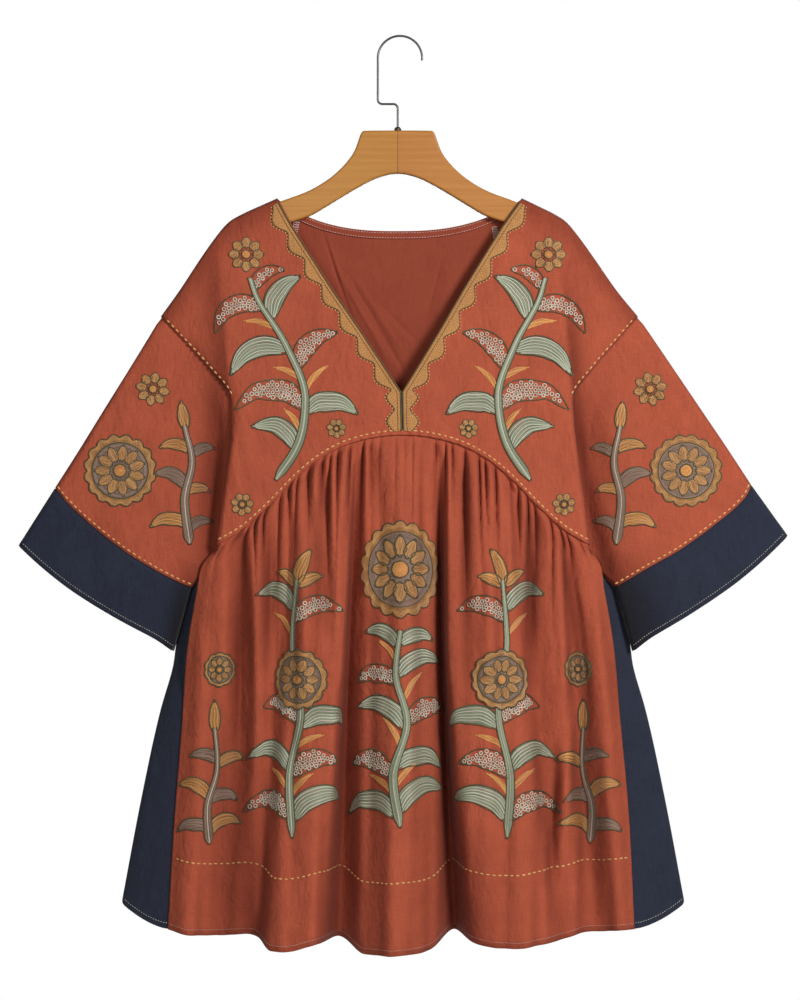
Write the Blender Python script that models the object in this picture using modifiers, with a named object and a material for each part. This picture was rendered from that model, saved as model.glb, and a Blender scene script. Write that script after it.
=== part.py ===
"""A V-neck smock mini dress hanging on a wooden hanger, one object for each piece that a maker cuts.

Metres, +Z up, the dress faces -Y. The origin is the inner top of the hanger's hook, where a rail
carries it. Tables are in millimetres. A depth is how far a wall stands from the middle plane y = 0,
to the front or to the back.
"""

import math

import bmesh
import bpy
import numpy as np
from mathutils import Vector
from mathutils.bvhtree import BVHTree

MM = 0.001

# Cloth and seams
CLOTH = 1.2 * MM
SKIRT_CLOTH = 1.4 * MM
SEAM_GAP = 0.3 * MM
LAP = 6.0 * MM
LAP_STEP = CLOTH + SEAM_GAP

# Hanger and hook
HANGER_THICK = 11.0 * MM
HANGER_BEVEL = 2.2 * MM
WIRE_RADIUS = 1.4 * MM
HOOK_RADIUS = 25.0 * MM
HOOK_SHANK = 67.0 * MM
HOOK_OFFSET = 25.0 * MM
BEND_RADIUS = 5.0 * MM
PLATE_TOP = -106.0 * MM
HANGER_X = -2.5 * MM

# Main outline of the dress, seen from the front
NECK_X, NECK_Z = 138 * MM, -182.6 * MM
V_BOTTOM = -402 * MM
BACK_NECK_Z = -218 * MM
ARM_X, ARM_Z = 269 * MM, -316 * MM
SIDE_X, SIDE_Z = 210 * MM, -574 * MM
BACK_SEAM_Z = -515 * MM
BAND_OUT = (392 * MM, -507 * MM)
BAND_IN = (238.5 * MM, -621 * MM)
CUFF_OUT = (433 * MM, -568 * MM)
CUFF_IN = (258.5 * MM, -693 * MM)
UNDERARM = (208 * MM, -592 * MM)
CROWN = 4.0 * MM
SLEEVE_EDGE = 6.0 * MM
SLEEVE_FORWARD = 7.0 * MM
BAND_TILT, CUFF_TILT = 1.7 * MM, 5.5 * MM
BAND_BOW, CUFF_BOW = 9.5 * MM, 14.5 * MM

# Where a line runs: x or z, and the height or half width there
SHOULDER = [(138, -182.6), (157, -191.4), (177, -201), (191, -210), (206, -228), (223, -252), (246, -286), (269, -316)]
ARCH = [(-60, -460), (0, -450), (60, -460), (94, -477), (122, -500), (150, -529), (180, -556), (210, -574)]
ARMHOLE = [(-574, 210), (-486, 198.5), (-430, 193), (-402, 195), (-375, 216), (-316, 269)]
FRONT_EDGE = [(-1008, 263.5), (-889, 256.5), (-772, 247.5), (-693, 242), (-627, 231.5), (-593, 224), (-574, 210)]
SIDE_EDGE = [
    (-981, 318), (-862, 295.5), (-760, 273.5), (-709, 259.5), (-693, 257.5), (-660, 252), (-640, 247),
    (-621, 239), (-614, 229),
]

# How far the dress hangs to the right of the hook at each height
LEAN = [(-184, -0.5), (-219, -3), (-286, -2.2), (-330, 0), (-421, 2.3), (-480, 3.5), (-1030, 3.5)]

# How far the walls stand from the middle plane at each height
FRONT_DEPTH = [(-572, 24), (-450, 21), (-350, 16), (-250, 11.5), (-184, 8.6)]
BACK_DEPTH = [(-572, 16), (-450, 14.5), (-300, 11), (-184, 8.6)]
ARMHOLE_DEPTH = 7.0 * MM
SIDE_TURN = [(-572, 12), (-450, 15), (-402, 32), (-316, 60)]

# Skirt rows, as shares of the way from the seam to the hem
SKIRT_ROWS = (0.0, 0.012, 0.035, 0.07, 0.12, 0.2, 0.31, 0.45, 0.62, 0.8, 1.0)
SIDE_ROWS = (0.094, 0.106, 0.12, 0.15, 0.2, 0.31, 0.45, 0.62, 0.8, 1.0)
FOLD_LEVELS = (0.0, 0.35, 1.0)
HEM_Z = -1003.6 * MM
GATHERS_FRONT = 38
GATHERS_BACK = 30
GATHER_DEPTH = [
    (0.0, 0.4), (0.012, 1.1), (0.035, 2.4), (0.07, 3.2), (0.12, 2.7), (0.2, 1.7), (0.31, 0.8), (0.45, 0.2),
    (1.0, 0.0),
]

# Folds of the skirt: x at the seam, at a third and at the hem, the depth at the same three places,
# and the height of the hem
FRONT_FOLDS = {
    "left edge":         (-210, -240, -263.5, 14, 20, 22, -1003.6),
    "left side ridge":   (-196, -214, -240, 20, 33, 33, -1008),
    "left side valley":  (-178, -180, -206, 22, 21, 18, -1011),
    "left outer ridge":  (-160, -160, -182, 25, 36, 24, -1008.7),
    "left small valley": (-138, -138, -160, 24, 29, 20, -1011.7),
    "left fold outside": (-118, -122, -146, 26, 40, 48, -1022.6),
    "left fold":         (-92, -96, -124, 26, 43, 56, -1021.9),
    "left fold inside":  (-64, -66, -98, 25, 44, 48, -1020.4),
    "left valley":       (-50, -53, -68, 20, 13, 12, -1014.6),
    "centre fold left":  (-38, -41, -46, 26, 36, 46, -1025.2),
    "centre fold":       (0, -2, -8, 26, 39, 57, -1026.3),
    "centre fold right": (36, 40, 32, 26, 36, 48, -1019.9),
    "right valley":      (46, 51, 53, 20, 12, 10, -1007),
    "right fold inside": (60, 63, 84, 25, 44, 47, -1014),
    "right fold":        (90, 94, 118, 26, 43, 56, -1018.7),
    "right fold outside": (122, 126, 156, 26, 39, 50, -1015),
    "right small valley": (142, 144, 178, 24, 29, 19, -1012),
    "right outer ridge": (163, 166, 200, 25, 35, 26, -1007.2),
    "right side valley": (182, 190, 222, 22, 22, 17, -1006.3),
    "right side ridge":  (196, 216, 244, 20, 32, 30, -1003.5),
    "right edge":        (210, 240, 263.5, 14, 20, 22, -1003.6),
}
BACK_FOLDS = {
    "edge":           (-210, -240, -263.5, 12, 16, 20, -1003.6),
    "side ridge":     (-196, -208, -228, 18, 26, 34, -1009),
    "side valley":    (-165, -168, -186, 16, 16, 14, -1007),
    "outer ridge":    (-135, -138, -150, 19, 30, 42, -1014),
    "outer valley":   (-96, -100, -108, 17, 16, 14, -1008),
    "inner ridge":    (-62, -64, -68, 19, 32, 46, -1016),
    "centre valley":  (-12, -16, -22, 17, 15, 12, -1009),
    "middle ridge":   (30, 30, 26, 19, 32, 46, -1016),
    "inner valley":   (70, 72, 74, 17, 15, 14, -1008),
    "far ridge":      (112, 116, 124, 19, 31, 44, -1014),
    "far valley":     (150, 158, 172, 16, 16, 14, -1007),
    "last ridge":     (192, 204, 222, 18, 26, 34, -1008),
    "last edge":      (210, 240, 263.5, 12, 16, 20, -1003.6),
}

# Neck trim
TRIM_THICK = 1.0 * MM
TRIM_NARROW, TRIM_WIDE = 8.0 * MM, 16.6 * MM
TRIM_WAVE, TRIM_FOOT_WAVE = 34.9 * MM, 27.5 * MM
TRIM_STEPS = 72
BINDING_WIDE = 8.0 * MM


def along(table, value):
    """A smooth line through a table of pairs in millimetres, read at a value in metres."""
    pairs = np.array(sorted(table), float)
    x, y = pairs[:, 0] * MM, pairs[:, 1] * MM
    return smooth(x, y, value)


def smooth(x, y, value):
    """Cubic pieces through the points, with the slope at each one kept from overshooting."""
    steps = np.diff(y) / np.diff(x)
    slopes = np.concatenate([steps[:1], (steps[1:] + steps[:-1]) / 2, steps[-1:]])
    turned = np.concatenate([[False], steps[1:] * steps[:-1] <= 0, [False]])
    slopes[turned] = 0.0
    value = np.clip(value, x[0], x[-1])
    i = np.clip(np.searchsorted(x, value) - 1, 0, len(x) - 2)
    wide = x[i + 1] - x[i]
    t = (value - x[i]) / wide
    rise = y[i + 1] - y[i]
    start, end = slopes[i] * wide, slopes[i + 1] * wide
    return y[i] + t * start + t * t * (3 * rise - 2 * start - end) + t**3 * (start + end - 2 * rise)


def eased(t):
    """0 to 1 with a soft start and end."""
    t = np.clip(t, 0.0, 1.0)
    return t * t * (3 - 2 * t)


def rounded(distance, radius):
    """0 at an edge, 1 from one radius away, on a quarter ellipse."""
    t = np.clip(distance / radius, 0.0, 1.0)
    return np.sqrt(1 - (1 - t) ** 2)


def shoulder_line(x):
    """Height of the shoulder fold, carried on inwards past the neck at the hanger's slope."""
    x = np.abs(x)
    inward = NECK_Z + 0.35 * (NECK_X - x)
    return np.where(x < NECK_X, inward, along(SHOULDER, x))


def yoke_depth(x, z, table):
    """How far a yoke stands from the middle plane: a crown over the hanger, a turned edge at the armhole."""
    x = np.abs(x)
    crown = rounded((shoulder_line(x) - z) * 0.8, CROWN)
    edge = ARMHOLE_DEPTH + LAP_STEP
    flat = along(table, z)
    turn = rounded(along(ARMHOLE, z) - x, along(SIDE_TURN, z))
    return crown * (edge + (flat - edge) * turn)


def lean(z):
    """How far the dress hangs to one side at a height."""
    return along(LEAN, z)


def panel(name, rows, colour, thick=CLOTH, ring=False, leans=True, even=True):
    """A cloth wall of even thickness on rows of points. A ring closes each row on itself."""
    tall, wide = rows.shape[:2]
    if leans:
        rows[:, :, 0] += lean(rows[:, :, 2])
    spans = wide if ring else wide - 1
    faces = []
    for i in range(tall - 1):
        for j in range(spans):
            k = (j + 1) % wide
            faces.append((i * wide + j, i * wide + k, (i + 1) * wide + k, (i + 1) * wide + j))
    mesh = bpy.data.meshes.new(name)
    mesh.from_pydata(rows.reshape(-1, 3).tolist(), [], faces)
    mesh.validate()
    return finished(name, mesh, colour, thick, even)


def finished(name, mesh, colour, thick=None, even=True):
    """Puts a mesh in the dress's collection, smooth, with its material and its thickness."""
    mesh.shade_smooth()
    obj = bpy.data.objects.new(name, mesh)
    dress.objects.link(obj)
    mesh.materials.append(material(*colour))
    if thick:
        wall = obj.modifiers.new("Wall", "SOLIDIFY")
        wall.thickness = thick
        wall.offset = 0.0
        wall.use_even_offset = even
    return obj


def material(name, red, green, blue, roughness, metallic=0.0):
    """A plain Principled material, made once for each name."""
    found = bpy.data.materials.get(name)
    if found:
        return found
    made = bpy.data.materials.new(name)
    made.use_nodes = True
    shader = made.node_tree.nodes["Principled BSDF"]
    shader.inputs["Base Color"].default_value = (red, green, blue, 1.0)
    shader.inputs["Roughness"].default_value = roughness
    shader.inputs["Metallic"].default_value = metallic
    return made


TERRACOTTA = ("terracotta cotton", 0.46, 0.1, 0.055, 0.9)
NAVY = ("navy cotton", 0.02, 0.025, 0.042, 0.9)
OCHRE = ("ochre embroidery", 0.42, 0.19, 0.06, 0.8)
WOOD = ("varnished beech", 0.56, 0.25, 0.075, 0.45)
STEEL = ("polished steel", 0.55, 0.54, 0.52, 0.3, 1.0)
BRASS = ("dark brass", 0.25, 0.18, 0.1, 0.4, 1.0)


def yoke(name, colour, neck_line, seam_line, table, side):
    """A yoke from the neck and shoulders down to its seam, both halves in one piece."""
    shares = np.array([0, 0.1, 0.2, 0.31, 0.42, 0.505, 0.513, 0.58, 0.65, 0.71, 0.81, 0.89, 0.94, 0.975, 0.99, 1.0])
    downs = np.array([0, 0.006, 0.016, 0.035, 0.08, 0.16, 0.26, 0.37, 0.48, 0.6, 0.72, 0.84, 0.93, 1.0])
    top_x = ARM_X * shares
    top_z = np.where(top_x < NECK_X, neck_line(top_x), shoulder_line(top_x))
    seam_x = SIDE_X * shares
    seam_z = seam_line(seam_x)
    rows = []
    for down in downs:
        edge_z = ARM_Z + (SIDE_Z - ARM_Z) * down
        bow = along(ARMHOLE, edge_z) - (ARM_X + (SIDE_X - ARM_X) * down)
        x = top_x + (seam_x - top_x) * down + bow * shares**2
        z = top_z + (seam_z - top_z) * down
        depth = np.maximum(yoke_depth(x, z, table), 0.8 * SEAM_GAP)
        right = np.stack([x, side * depth, z], axis=1)
        left = right[:0:-1] * (-1, 1, 1)
        rows.append(np.concatenate([left, right]))
    return panel(name, np.array(rows), colour)


def v_neck(x):
    """Height of the front neckline: a straight V."""
    return V_BOTTOM + (NECK_Z - V_BOTTOM) * x / NECK_X


def back_neck(x):
    """Height of the back neckline: a shallow scoop."""
    return BACK_NECK_Z + (NECK_Z - BACK_NECK_Z) * (np.abs(x) / NECK_X) ** 2.6


def front_seam(x):
    """Height of the arched seam under the front yoke."""
    return along(ARCH, np.abs(x))


def back_seam(x):
    """Height of the flatter seam under the back yoke."""
    return BACK_SEAM_Z + (SIDE_Z - BACK_SEAM_Z) * (np.abs(x) / SIDE_X) ** 2


def fold_row(folds, share, count):
    """x and depth at even steps of cloth across the skirt, from one side edge to the other."""
    table = np.array(list(folds.values()), float) * MM
    level_x = np.array([smooth(np.array(FOLD_LEVELS), row[:3], share) for row in table])
    level_y = np.array([smooth(np.array(FOLD_LEVELS), row[3:6], share) for row in table])
    level_x *= float(along(FRONT_EDGE, SIDE_Z + (HEM_Z - SIDE_Z) * share)) / level_x[-1]
    fine = np.linspace(0, len(table) - 1, 40 * len(table))
    x = smooth(np.arange(len(table), dtype=float), level_x, fine)
    y = smooth(np.arange(len(table), dtype=float), level_y, fine)
    length = np.concatenate([[0], np.cumsum(np.hypot(np.diff(x), np.diff(y)))])
    steps = np.linspace(0, length[-1], count + 1)
    return np.interp(steps, length, x), np.interp(steps, length, y)


def gather_depth(share, gathers, count):
    """Small gathers that start at the seam and die out lower down, no two quite alike."""
    place = np.linspace(0, gathers, count + 1)
    uneven = 1 + 0.25 * np.sin(2.4 * np.round(place)) + 0.15 * np.sin(5.1 * np.round(place))
    ends = eased((np.minimum(place, gathers - place) - 0.9) / 6)
    return smooth(*np.array(GATHER_DEPTH, float).T, share) * MM * uneven * ends * np.cos(2 * math.pi * place)


def hem_line(folds, count):
    """Height of the hem across the skirt: folds that stand forward hang lower."""
    table = np.array(list(folds.values()), float) * MM
    x, _ = fold_row(folds, 1.0, count)
    return smooth(table[:, 2], table[:, 6], x)


def skirt(name, folds, gathers, seam_line, table, side):
    """A gathered skirt panel: its top edge lies under the yoke, its folds deepen to the hem."""
    count = 2 * gathers
    seam_x, _ = fold_row(folds, 0.0, count)
    hem_z = hem_line(folds, count)
    seam_z = seam_line(seam_x)
    rows = []
    for share in (-1.0, *SKIRT_ROWS):
        x, y = fold_row(folds, max(share, 0.0), count)
        x = x * (1 - 0.03 * (1 - eased(share / 0.065)))
        z = seam_z + LAP if share < 0 else seam_z + (hem_z - seam_z) * share
        under = yoke_depth(x, z, table) - 1.55 * LAP_STEP
        depth = under + (y - under) * eased(share / 0.045)
        depth += gather_depth(max(share, 0.0), gathers, count)
        rows.append(np.stack([x, side * depth, z], axis=1))
    return panel(name, np.array(rows), TERRACOTTA, SKIRT_CLOTH, even=False)


def skirt_edge(folds, share, hand, side):
    """Two points under a skirt panel's side edge, one a lap in and one at the edge itself."""
    x, depth = fold_row(folds, share, 240)
    x, depth = (x[::-1] * hand, depth[::-1]) if hand > 0 else (x * hand, depth)
    length = np.concatenate([[0], np.cumsum(np.hypot(np.diff(x), np.diff(depth)))])
    inner = np.array([np.interp(LAP, length, x), np.interp(LAP, length, depth)])
    edge = np.array([x[0], depth[0]])
    way = (inner - edge) / np.linalg.norm(inner - edge)
    under = 1.3 * LAP_STEP * np.array([-way[1], way[0]])
    z = SIDE_Z + (hem_line(folds, 2)[-1] - SIDE_Z) * share
    return [(px, side * py, z) for px, py in (inner + under, edge + under)]


def side_panel(name, hand):
    """The plain panel let in at the side, its edges lapped under the front and back skirts."""
    rows = []
    across = np.linspace(0, 1, 9)
    for share in SIDE_ROWS:
        front_lap, front = skirt_edge(FRONT_FOLDS, share, hand, -1)
        back_lap, back = skirt_edge(BACK_FOLDS, share, hand, 1)
        level = front[2] + (back[2] - front[2]) * across
        rise = 27 * MM * share**3
        out_x = float(along(SIDE_EDGE, front[2] + rise))
        bulge = np.sin(math.pi * across) ** (1.8 - eased((share - 0.2) / 0.25))
        behind = 8 * MM * (1 - eased((share - 0.25) / 0.3)) * np.sin(math.pi * across)
        edge_x = front[0] + (back[0] - front[0]) * across
        x = edge_x + (out_x - edge_x) * bulge
        depth = front[1] + (back[1] - front[1]) * across + behind
        walls = np.stack([x, depth, level + rise * bulge**1.6], axis=1)
        rows.append(np.concatenate([[front_lap], walls, [back_lap]]))
    rows = np.array(rows)
    rows[:, :, 0] *= hand
    return panel(name, rows, NAVY)


def sleeve_ring(outer, inner, line, deep, forward):
    """One closed loop round a sleeve: in along the front wall, back along the rear one.

    The inner fold stands forward of the middle plane, so that it covers the dress's side.
    """
    across = np.array([0, 0.01, 0.035, 0.1, 0.2, 0.34, 0.5, 0.66, 0.8, 0.9, 0.965, 0.99, 1.0])
    middle = np.array([line(s, outer, inner) for s in across])
    wide = math.dist(outer, inner)
    outside = rounded(across * wide, SLEEVE_EDGE)
    inside = (1 - across) * wide
    front = deep * rounded(inside, SLEEVE_EDGE)
    back = deep * rounded(inside, SLEEVE_EDGE + 3.0 * forward)
    move = forward * (1 - eased(inside / (3 * SLEEVE_EDGE)))
    front = -outside * np.maximum(front, move)
    back = outside * back - move
    there = np.stack([middle[:, 0], front, middle[:, 1]], axis=1)
    again = np.stack([middle[:, 0], back, middle[:, 1]], axis=1)[-2:0:-1]
    return np.concatenate([there, again])


def armhole_line(share, outer, inner):
    """A point of the sleeve's inner end, which lies a lap inside the yoke's edge."""
    z = outer[1] + (SIDE_Z + 4 * MM - outer[1]) * min(share / 0.9, 1.0)
    x = along(ARMHOLE, z) - LAP - 4 * MM * eased((-520 * MM - z) / (50 * MM))
    if share <= 0.9:
        start = outer[0] - (along(ARMHOLE, outer[1]) - LAP)
        return x + start * (1 - share / 0.9) ** 8, z
    t = (share - 0.9) / 0.1
    return x + (inner[0] - x) * t, z + (inner[1] - z) * t


def bowed_line(bow):
    """A line from the outer fold to the inner one that hangs down in the middle by bow."""

    def line(share, outer, inner):
        sag = bow * 4 * share * (1 - share)
        x = outer[0] + (inner[0] - outer[0]) * share
        z = outer[1] + (inner[1] - outer[1]) * share
        return x - 0.55 * sag, z - 0.83 * sag

    return line


def tilted(point, tilt, hand):
    """A sleeve's corner, a little higher on the right arm than on the left."""
    return point[0], point[1] + hand * tilt


def inset(point, towards, amount):
    """A point moved by an amount towards another."""
    x, z = point
    far = math.dist(point, towards)
    return x + (towards[0] - x) * amount / far, z + (towards[1] - z) * amount / far


def sleeve(name, hand):
    """The dropped sleeve, a flat bell from the armhole to the band."""
    end_line = bowed_line(BAND_BOW)
    band_out = tilted(BAND_OUT, BAND_TILT, hand)
    rings = []
    for share in (0.0, 0.035, 0.07, 0.2, 0.36, 0.54, 0.72, 0.87, 1.0):
        deep = (7.0 + 6.0 * eased((share - 0.22) / 0.53)) * MM
        forward = SLEEVE_FORWARD * eased((share - 0.22) / 0.53)
        tucked = 2.2 * MM * (1 - eased((share - 0.035) / 0.035))
        top = inset((ARM_X - 3.6 * MM, ARM_Z + 5 * MM), UNDERARM, tucked)
        first = sleeve_ring(top, UNDERARM, armhole_line, deep, forward)
        last = sleeve_ring(band_out, BAND_IN, end_line, deep, forward)
        rings.append(first + (last - first) * share)
        rings[-1][:, 1] = last[:, 1]
    rings = np.array(rings)
    rings[:, :, 0] *= hand
    return panel(name, rings, TERRACOTTA, ring=True)


def cuff(name, hand):
    """The band at the sleeve's end, let in under it by a lap."""
    band_out = np.array(tilted(BAND_OUT, BAND_TILT, hand))
    cuff_out = np.array(tilted(CUFF_OUT, CUFF_TILT, hand))
    rings = []
    for share in (-0.08, 0.0, 0.12, 0.4, 0.7, 1.0):
        outer = (band_out + (cuff_out - band_out) * share).tolist()
        inner = (np.array(BAND_IN) + (np.array(CUFF_IN) - BAND_IN) * share).tolist()
        under = LAP_STEP * (1.15 if share < 0.1 else 0.0)
        outer, inner = inset(outer, inner, under), inset(inner, outer, under)
        depth = (13 + 3 * share) * MM - under
        line = bowed_line(BAND_BOW + (CUFF_BOW - BAND_BOW) * share)
        ring = sleeve_ring(outer, inner, line, depth, SLEEVE_FORWARD)
        longer = 3 * MM * max(share, 0.0) ** 2
        ring[:, 2] -= longer * np.clip(ring[:, 1] / depth, 0, 1)
        rings.append(ring)
    rings = np.array(rings)
    rings[:, :, 0] *= hand
    return panel(name, rings, NAVY, ring=True)


def surface_tree(obj):
    """The walls of a finished panel, to lay other pieces on."""
    graph = bpy.context.evaluated_depsgraph_get()
    return BVHTree.FromObject(obj, graph)


def laid(tree, x, z, start, lift):
    """A point lifted off the first wall met along Y from a start, with the wall's way out."""
    way = Vector((0, 1 if start < 0 else -1, 0))
    if abs(start) < MM:
        way = Vector((0, 1, 0))
    hit, normal, _, _ = tree.ray_cast(Vector((x, start, z)), way)
    return hit + normal * lift


def trim_path(hand):
    """Points down the V and the short slit, each with its way out across the cloth."""
    top = np.array([NECK_X - 3.0 * MM, NECK_Z - 6.0 * MM])
    corner = np.array([1.2 * MM, V_BOTTOM + 1.5 * MM])
    foot = np.array([1.2 * MM, front_seam(0) + 4.5 * MM])
    slope, slit = math.dist(top, corner), math.dist(corner, foot)
    down = (corner - top) / slope
    out_slope, out_slit = np.array([-down[1], down[0]]), np.array([1.0, 0.0])
    points = []
    for step in range(TRIM_STEPS + 1):
        run = (slope + slit) * step / TRIM_STEPS
        place = top + down * run if run < slope else corner + (foot - corner) * (run - slope) / slit
        turn = eased((run - slope + 14 * MM) / (20 * MM))
        out = out_slope * (1 - turn) + out_slit * turn
        waves = run / TRIM_WAVE if run < 7 * TRIM_WAVE else 7 + (run - 7 * TRIM_WAVE) / TRIM_FOOT_WAVE
        lobe = (0.5 - 0.5 * math.cos(2 * math.pi * waves)) ** 0.8
        wide = TRIM_NARROW + (TRIM_WIDE - TRIM_NARROW) * lobe
        points.append((place, out / np.linalg.norm(out), wide))
    return [((hand * p[0], p[1]), (hand * o[0], o[1]), w) for p, o, w in points]


def neck_trim(name, hand, tree):
    """One scalloped border of the V, lying on the front yoke."""
    lift = SEAM_GAP + TRIM_THICK / 2
    rows = []
    for (x, z), (out_x, out_z), wide in trim_path(hand):
        row = []
        for share in (0.0, 0.5, 1.0):
            reach = 0.8 * MM + (wide - 0.8 * MM) * share
            down = z + out_z * reach
            row.append(laid(tree, x + out_x * reach + lean(down), down, -0.1, lift))
        rows.append(row)
    return panel(name, np.array(rows, float), OCHRE, TRIM_THICK, leans=False)


def neck_binding(tree):
    """The narrow binding turned to the inside of the back neck."""
    lift = SEAM_GAP + 0.5 * MM
    rows = []
    for x in np.linspace(-NECK_X + 8 * MM, NECK_X - 8 * MM, 27):
        top = float(back_neck(x)) - 1.0 * MM
        rows.append([laid(tree, x, top - BINDING_WIDE * share, 0.0, lift) for share in (0.0, 0.5, 1.0)])
    return panel("back_neck_binding", np.array(rows, float), TERRACOTTA, TRIM_THICK, leans=False)


def hanger_body():
    """The flat wooden hanger: a plate with two arms that curve down into the shoulders."""
    upper = [(36, -106), (41, -107), (45, -119), (49, -130), (56, -140), (65, -150), (79, -162), (101, -175)]
    lower = [(98, -202), (80, -191), (62, -180), (42, -168), (22, -158), (0, -153)]
    shoulder = [(127, -184), (138, -188.5), (165, -200), (184, -210)]
    end = [(191, -215.5), (194, -221), (191, -227), (184, -229)]
    under = [(150, -218), (122, -210)]
    right = upper + shoulder + end + under + lower
    left = [(-x, z) for x, z in right[-2::-1]]
    curve = bpy.data.curves.new("hanger", "CURVE")
    curve.dimensions = "2D"
    curve.fill_mode = "BOTH"
    curve.extrude = HANGER_THICK / 2 - HANGER_BEVEL
    curve.bevel_depth = HANGER_BEVEL
    curve.bevel_resolution = 1
    spline = curve.splines.new("POLY")
    spline.points.add(len(right + left) - 1)
    for point, (x, z) in zip(spline.points, right + left):
        point.co = (x * MM + HANGER_X, z * MM, 0, 1)
    spline.use_cyclic_u = True
    curve.offset = -HANGER_BEVEL
    obj = bpy.data.objects.new("hanger", curve)
    dress.objects.link(obj)
    obj.rotation_euler = (math.pi / 2, 0, 0)
    curve.materials.append(material(*WOOD))
    return obj


def arc(centre, radius, start, end, steps):
    """Points on an arc in the plane of the hook, angles in degrees from +X towards +Z."""
    angles = np.radians(np.linspace(start, end, steps))
    return [(centre[0] + radius * math.cos(a), centre[1] + radius * math.sin(a)) for a in angles]


def hook():
    """The bent wire: up from the plate, aside, up again and over in a round hook."""
    top = WIRE_RADIUS - HOOK_RADIUS
    step_z = top - HOOK_SHANK + 15 * MM
    points = [(HANGER_X, PLATE_TOP + 4.6 * MM)]
    points += arc((HANGER_X - BEND_RADIUS, step_z - BEND_RADIUS), BEND_RADIUS, 0, 90, 5)
    points += arc((-HOOK_OFFSET + BEND_RADIUS, step_z + BEND_RADIUS), BEND_RADIUS, 270, 180, 5)
    points += arc((0.0, top), HOOK_RADIUS, 180, -6, 22)
    curve = bpy.data.curves.new("hook", "CURVE")
    curve.dimensions = "3D"
    curve.bevel_depth = WIRE_RADIUS
    curve.bevel_resolution = 2
    curve.use_fill_caps = True
    spline = curve.splines.new("POLY")
    spline.points.add(len(points) - 1)
    for point, (x, z) in zip(spline.points, points):
        point.co = (x, 0, z, 1)
    obj = bpy.data.objects.new("hook", curve)
    dress.objects.link(obj)
    curve.materials.append(material(*STEEL))
    return obj


def collar():
    """The small turned collar that the hook's wire stands in."""
    bpy.ops.mesh.primitive_cylinder_add(vertices=16, radius=4.2 * MM, depth=4.0 * MM)
    obj = bpy.context.object
    obj.name = "hook_collar"
    obj.location = (HANGER_X, 0, PLATE_TOP + 2.3 * MM)
    for other in list(obj.users_collection):
        other.objects.unlink(obj)
    dress.objects.link(obj)
    edge = obj.modifiers.new("Round", "BEVEL")
    edge.width = 0.8 * MM
    edge.segments = 1
    obj.data.materials.append(material(*BRASS))
    return obj


def build():
    """Every piece of the dress and its hanger."""
    front = yoke("front_yoke", TERRACOTTA, v_neck, front_seam, FRONT_DEPTH, -1)
    back = yoke("back_yoke", TERRACOTTA, back_neck, back_seam, BACK_DEPTH, 1)
    skirt("front_skirt", FRONT_FOLDS, GATHERS_FRONT, front_seam, FRONT_DEPTH, -1)
    skirt("back_skirt", BACK_FOLDS, GATHERS_BACK, back_seam, BACK_DEPTH, 1)
    for word, hand in (("right", 1), ("left", -1)):
        side_panel(f"side_panel_{word}", hand)
        sleeve(f"sleeve_{word}", hand)
        cuff(f"cuff_{word}", hand)
    bpy.context.view_layer.update()
    on_front = surface_tree(front)
    for word, hand in (("right", 1), ("left", -1)):
        neck_trim(f"neck_trim_{word}", hand, on_front)
    neck_binding(surface_tree(back))
    hanger_body()
    hook()
    collar()


for old in list(bpy.data.objects):
    bpy.data.objects.remove(old)
dress = bpy.data.collections.new("mini_dress")
bpy.context.scene.collection.children.link(dress)
build()
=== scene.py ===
# %% [markdown]
# # A smock mini dress on a wooden hanger
#
# The dress is cut and sewn from panels. It could be one mesh, but panels have seams, laps and colours
# of their own, so each is a piece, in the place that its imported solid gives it. Thin cloth with its
# gathers and creases comes first, and then what is sewn on it: running stitches, borders and
# embroidery. The frame is loaded before all else, because nothing may move once it is in the scene.

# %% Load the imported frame
import math

import bpy
import numpy as np
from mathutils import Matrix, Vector
from mathutils.bvhtree import BVHTree


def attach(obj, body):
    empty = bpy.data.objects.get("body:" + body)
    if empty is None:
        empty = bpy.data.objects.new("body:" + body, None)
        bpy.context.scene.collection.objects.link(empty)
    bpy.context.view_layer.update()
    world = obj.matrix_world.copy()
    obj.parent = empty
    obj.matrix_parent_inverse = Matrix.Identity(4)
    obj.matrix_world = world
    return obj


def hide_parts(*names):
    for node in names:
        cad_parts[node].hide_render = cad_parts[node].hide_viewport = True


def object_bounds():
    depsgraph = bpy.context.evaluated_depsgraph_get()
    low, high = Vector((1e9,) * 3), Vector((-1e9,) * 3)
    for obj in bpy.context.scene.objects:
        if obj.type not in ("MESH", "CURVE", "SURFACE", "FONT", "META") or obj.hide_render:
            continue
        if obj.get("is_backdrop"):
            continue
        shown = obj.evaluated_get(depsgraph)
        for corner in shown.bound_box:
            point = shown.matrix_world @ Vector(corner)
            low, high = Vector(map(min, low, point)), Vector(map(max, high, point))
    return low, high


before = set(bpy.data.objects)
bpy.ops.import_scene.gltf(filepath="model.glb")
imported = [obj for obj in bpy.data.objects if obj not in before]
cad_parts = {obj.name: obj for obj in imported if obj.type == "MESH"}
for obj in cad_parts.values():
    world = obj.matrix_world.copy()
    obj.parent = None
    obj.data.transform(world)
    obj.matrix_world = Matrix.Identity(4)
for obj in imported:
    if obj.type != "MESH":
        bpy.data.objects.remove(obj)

MM = 0.001
scene = bpy.context.scene
cad_low, cad_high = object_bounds()
print("nodes:", sorted(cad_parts))
print("CAD box, mm:", [round(v / MM) for v in cad_high - cad_low])

# %% [markdown]
# ## Objects and nodes
#
# Everything made here is an object in one collection, and every finish is a tree of nodes. Each node
# could be made, set and linked in lines of its own, but then the wiring hides the finish. So a small
# helper takes a table instead: an input that is given another node's output is linked to it, and
# any other value is simply set.

# %% Helpers for objects and nodes
def add_object(name, data):
    """A new object with the data, in the scene."""
    obj = bpy.data.objects.new(name, data)
    scene.collection.objects.link(obj)
    return obj


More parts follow.
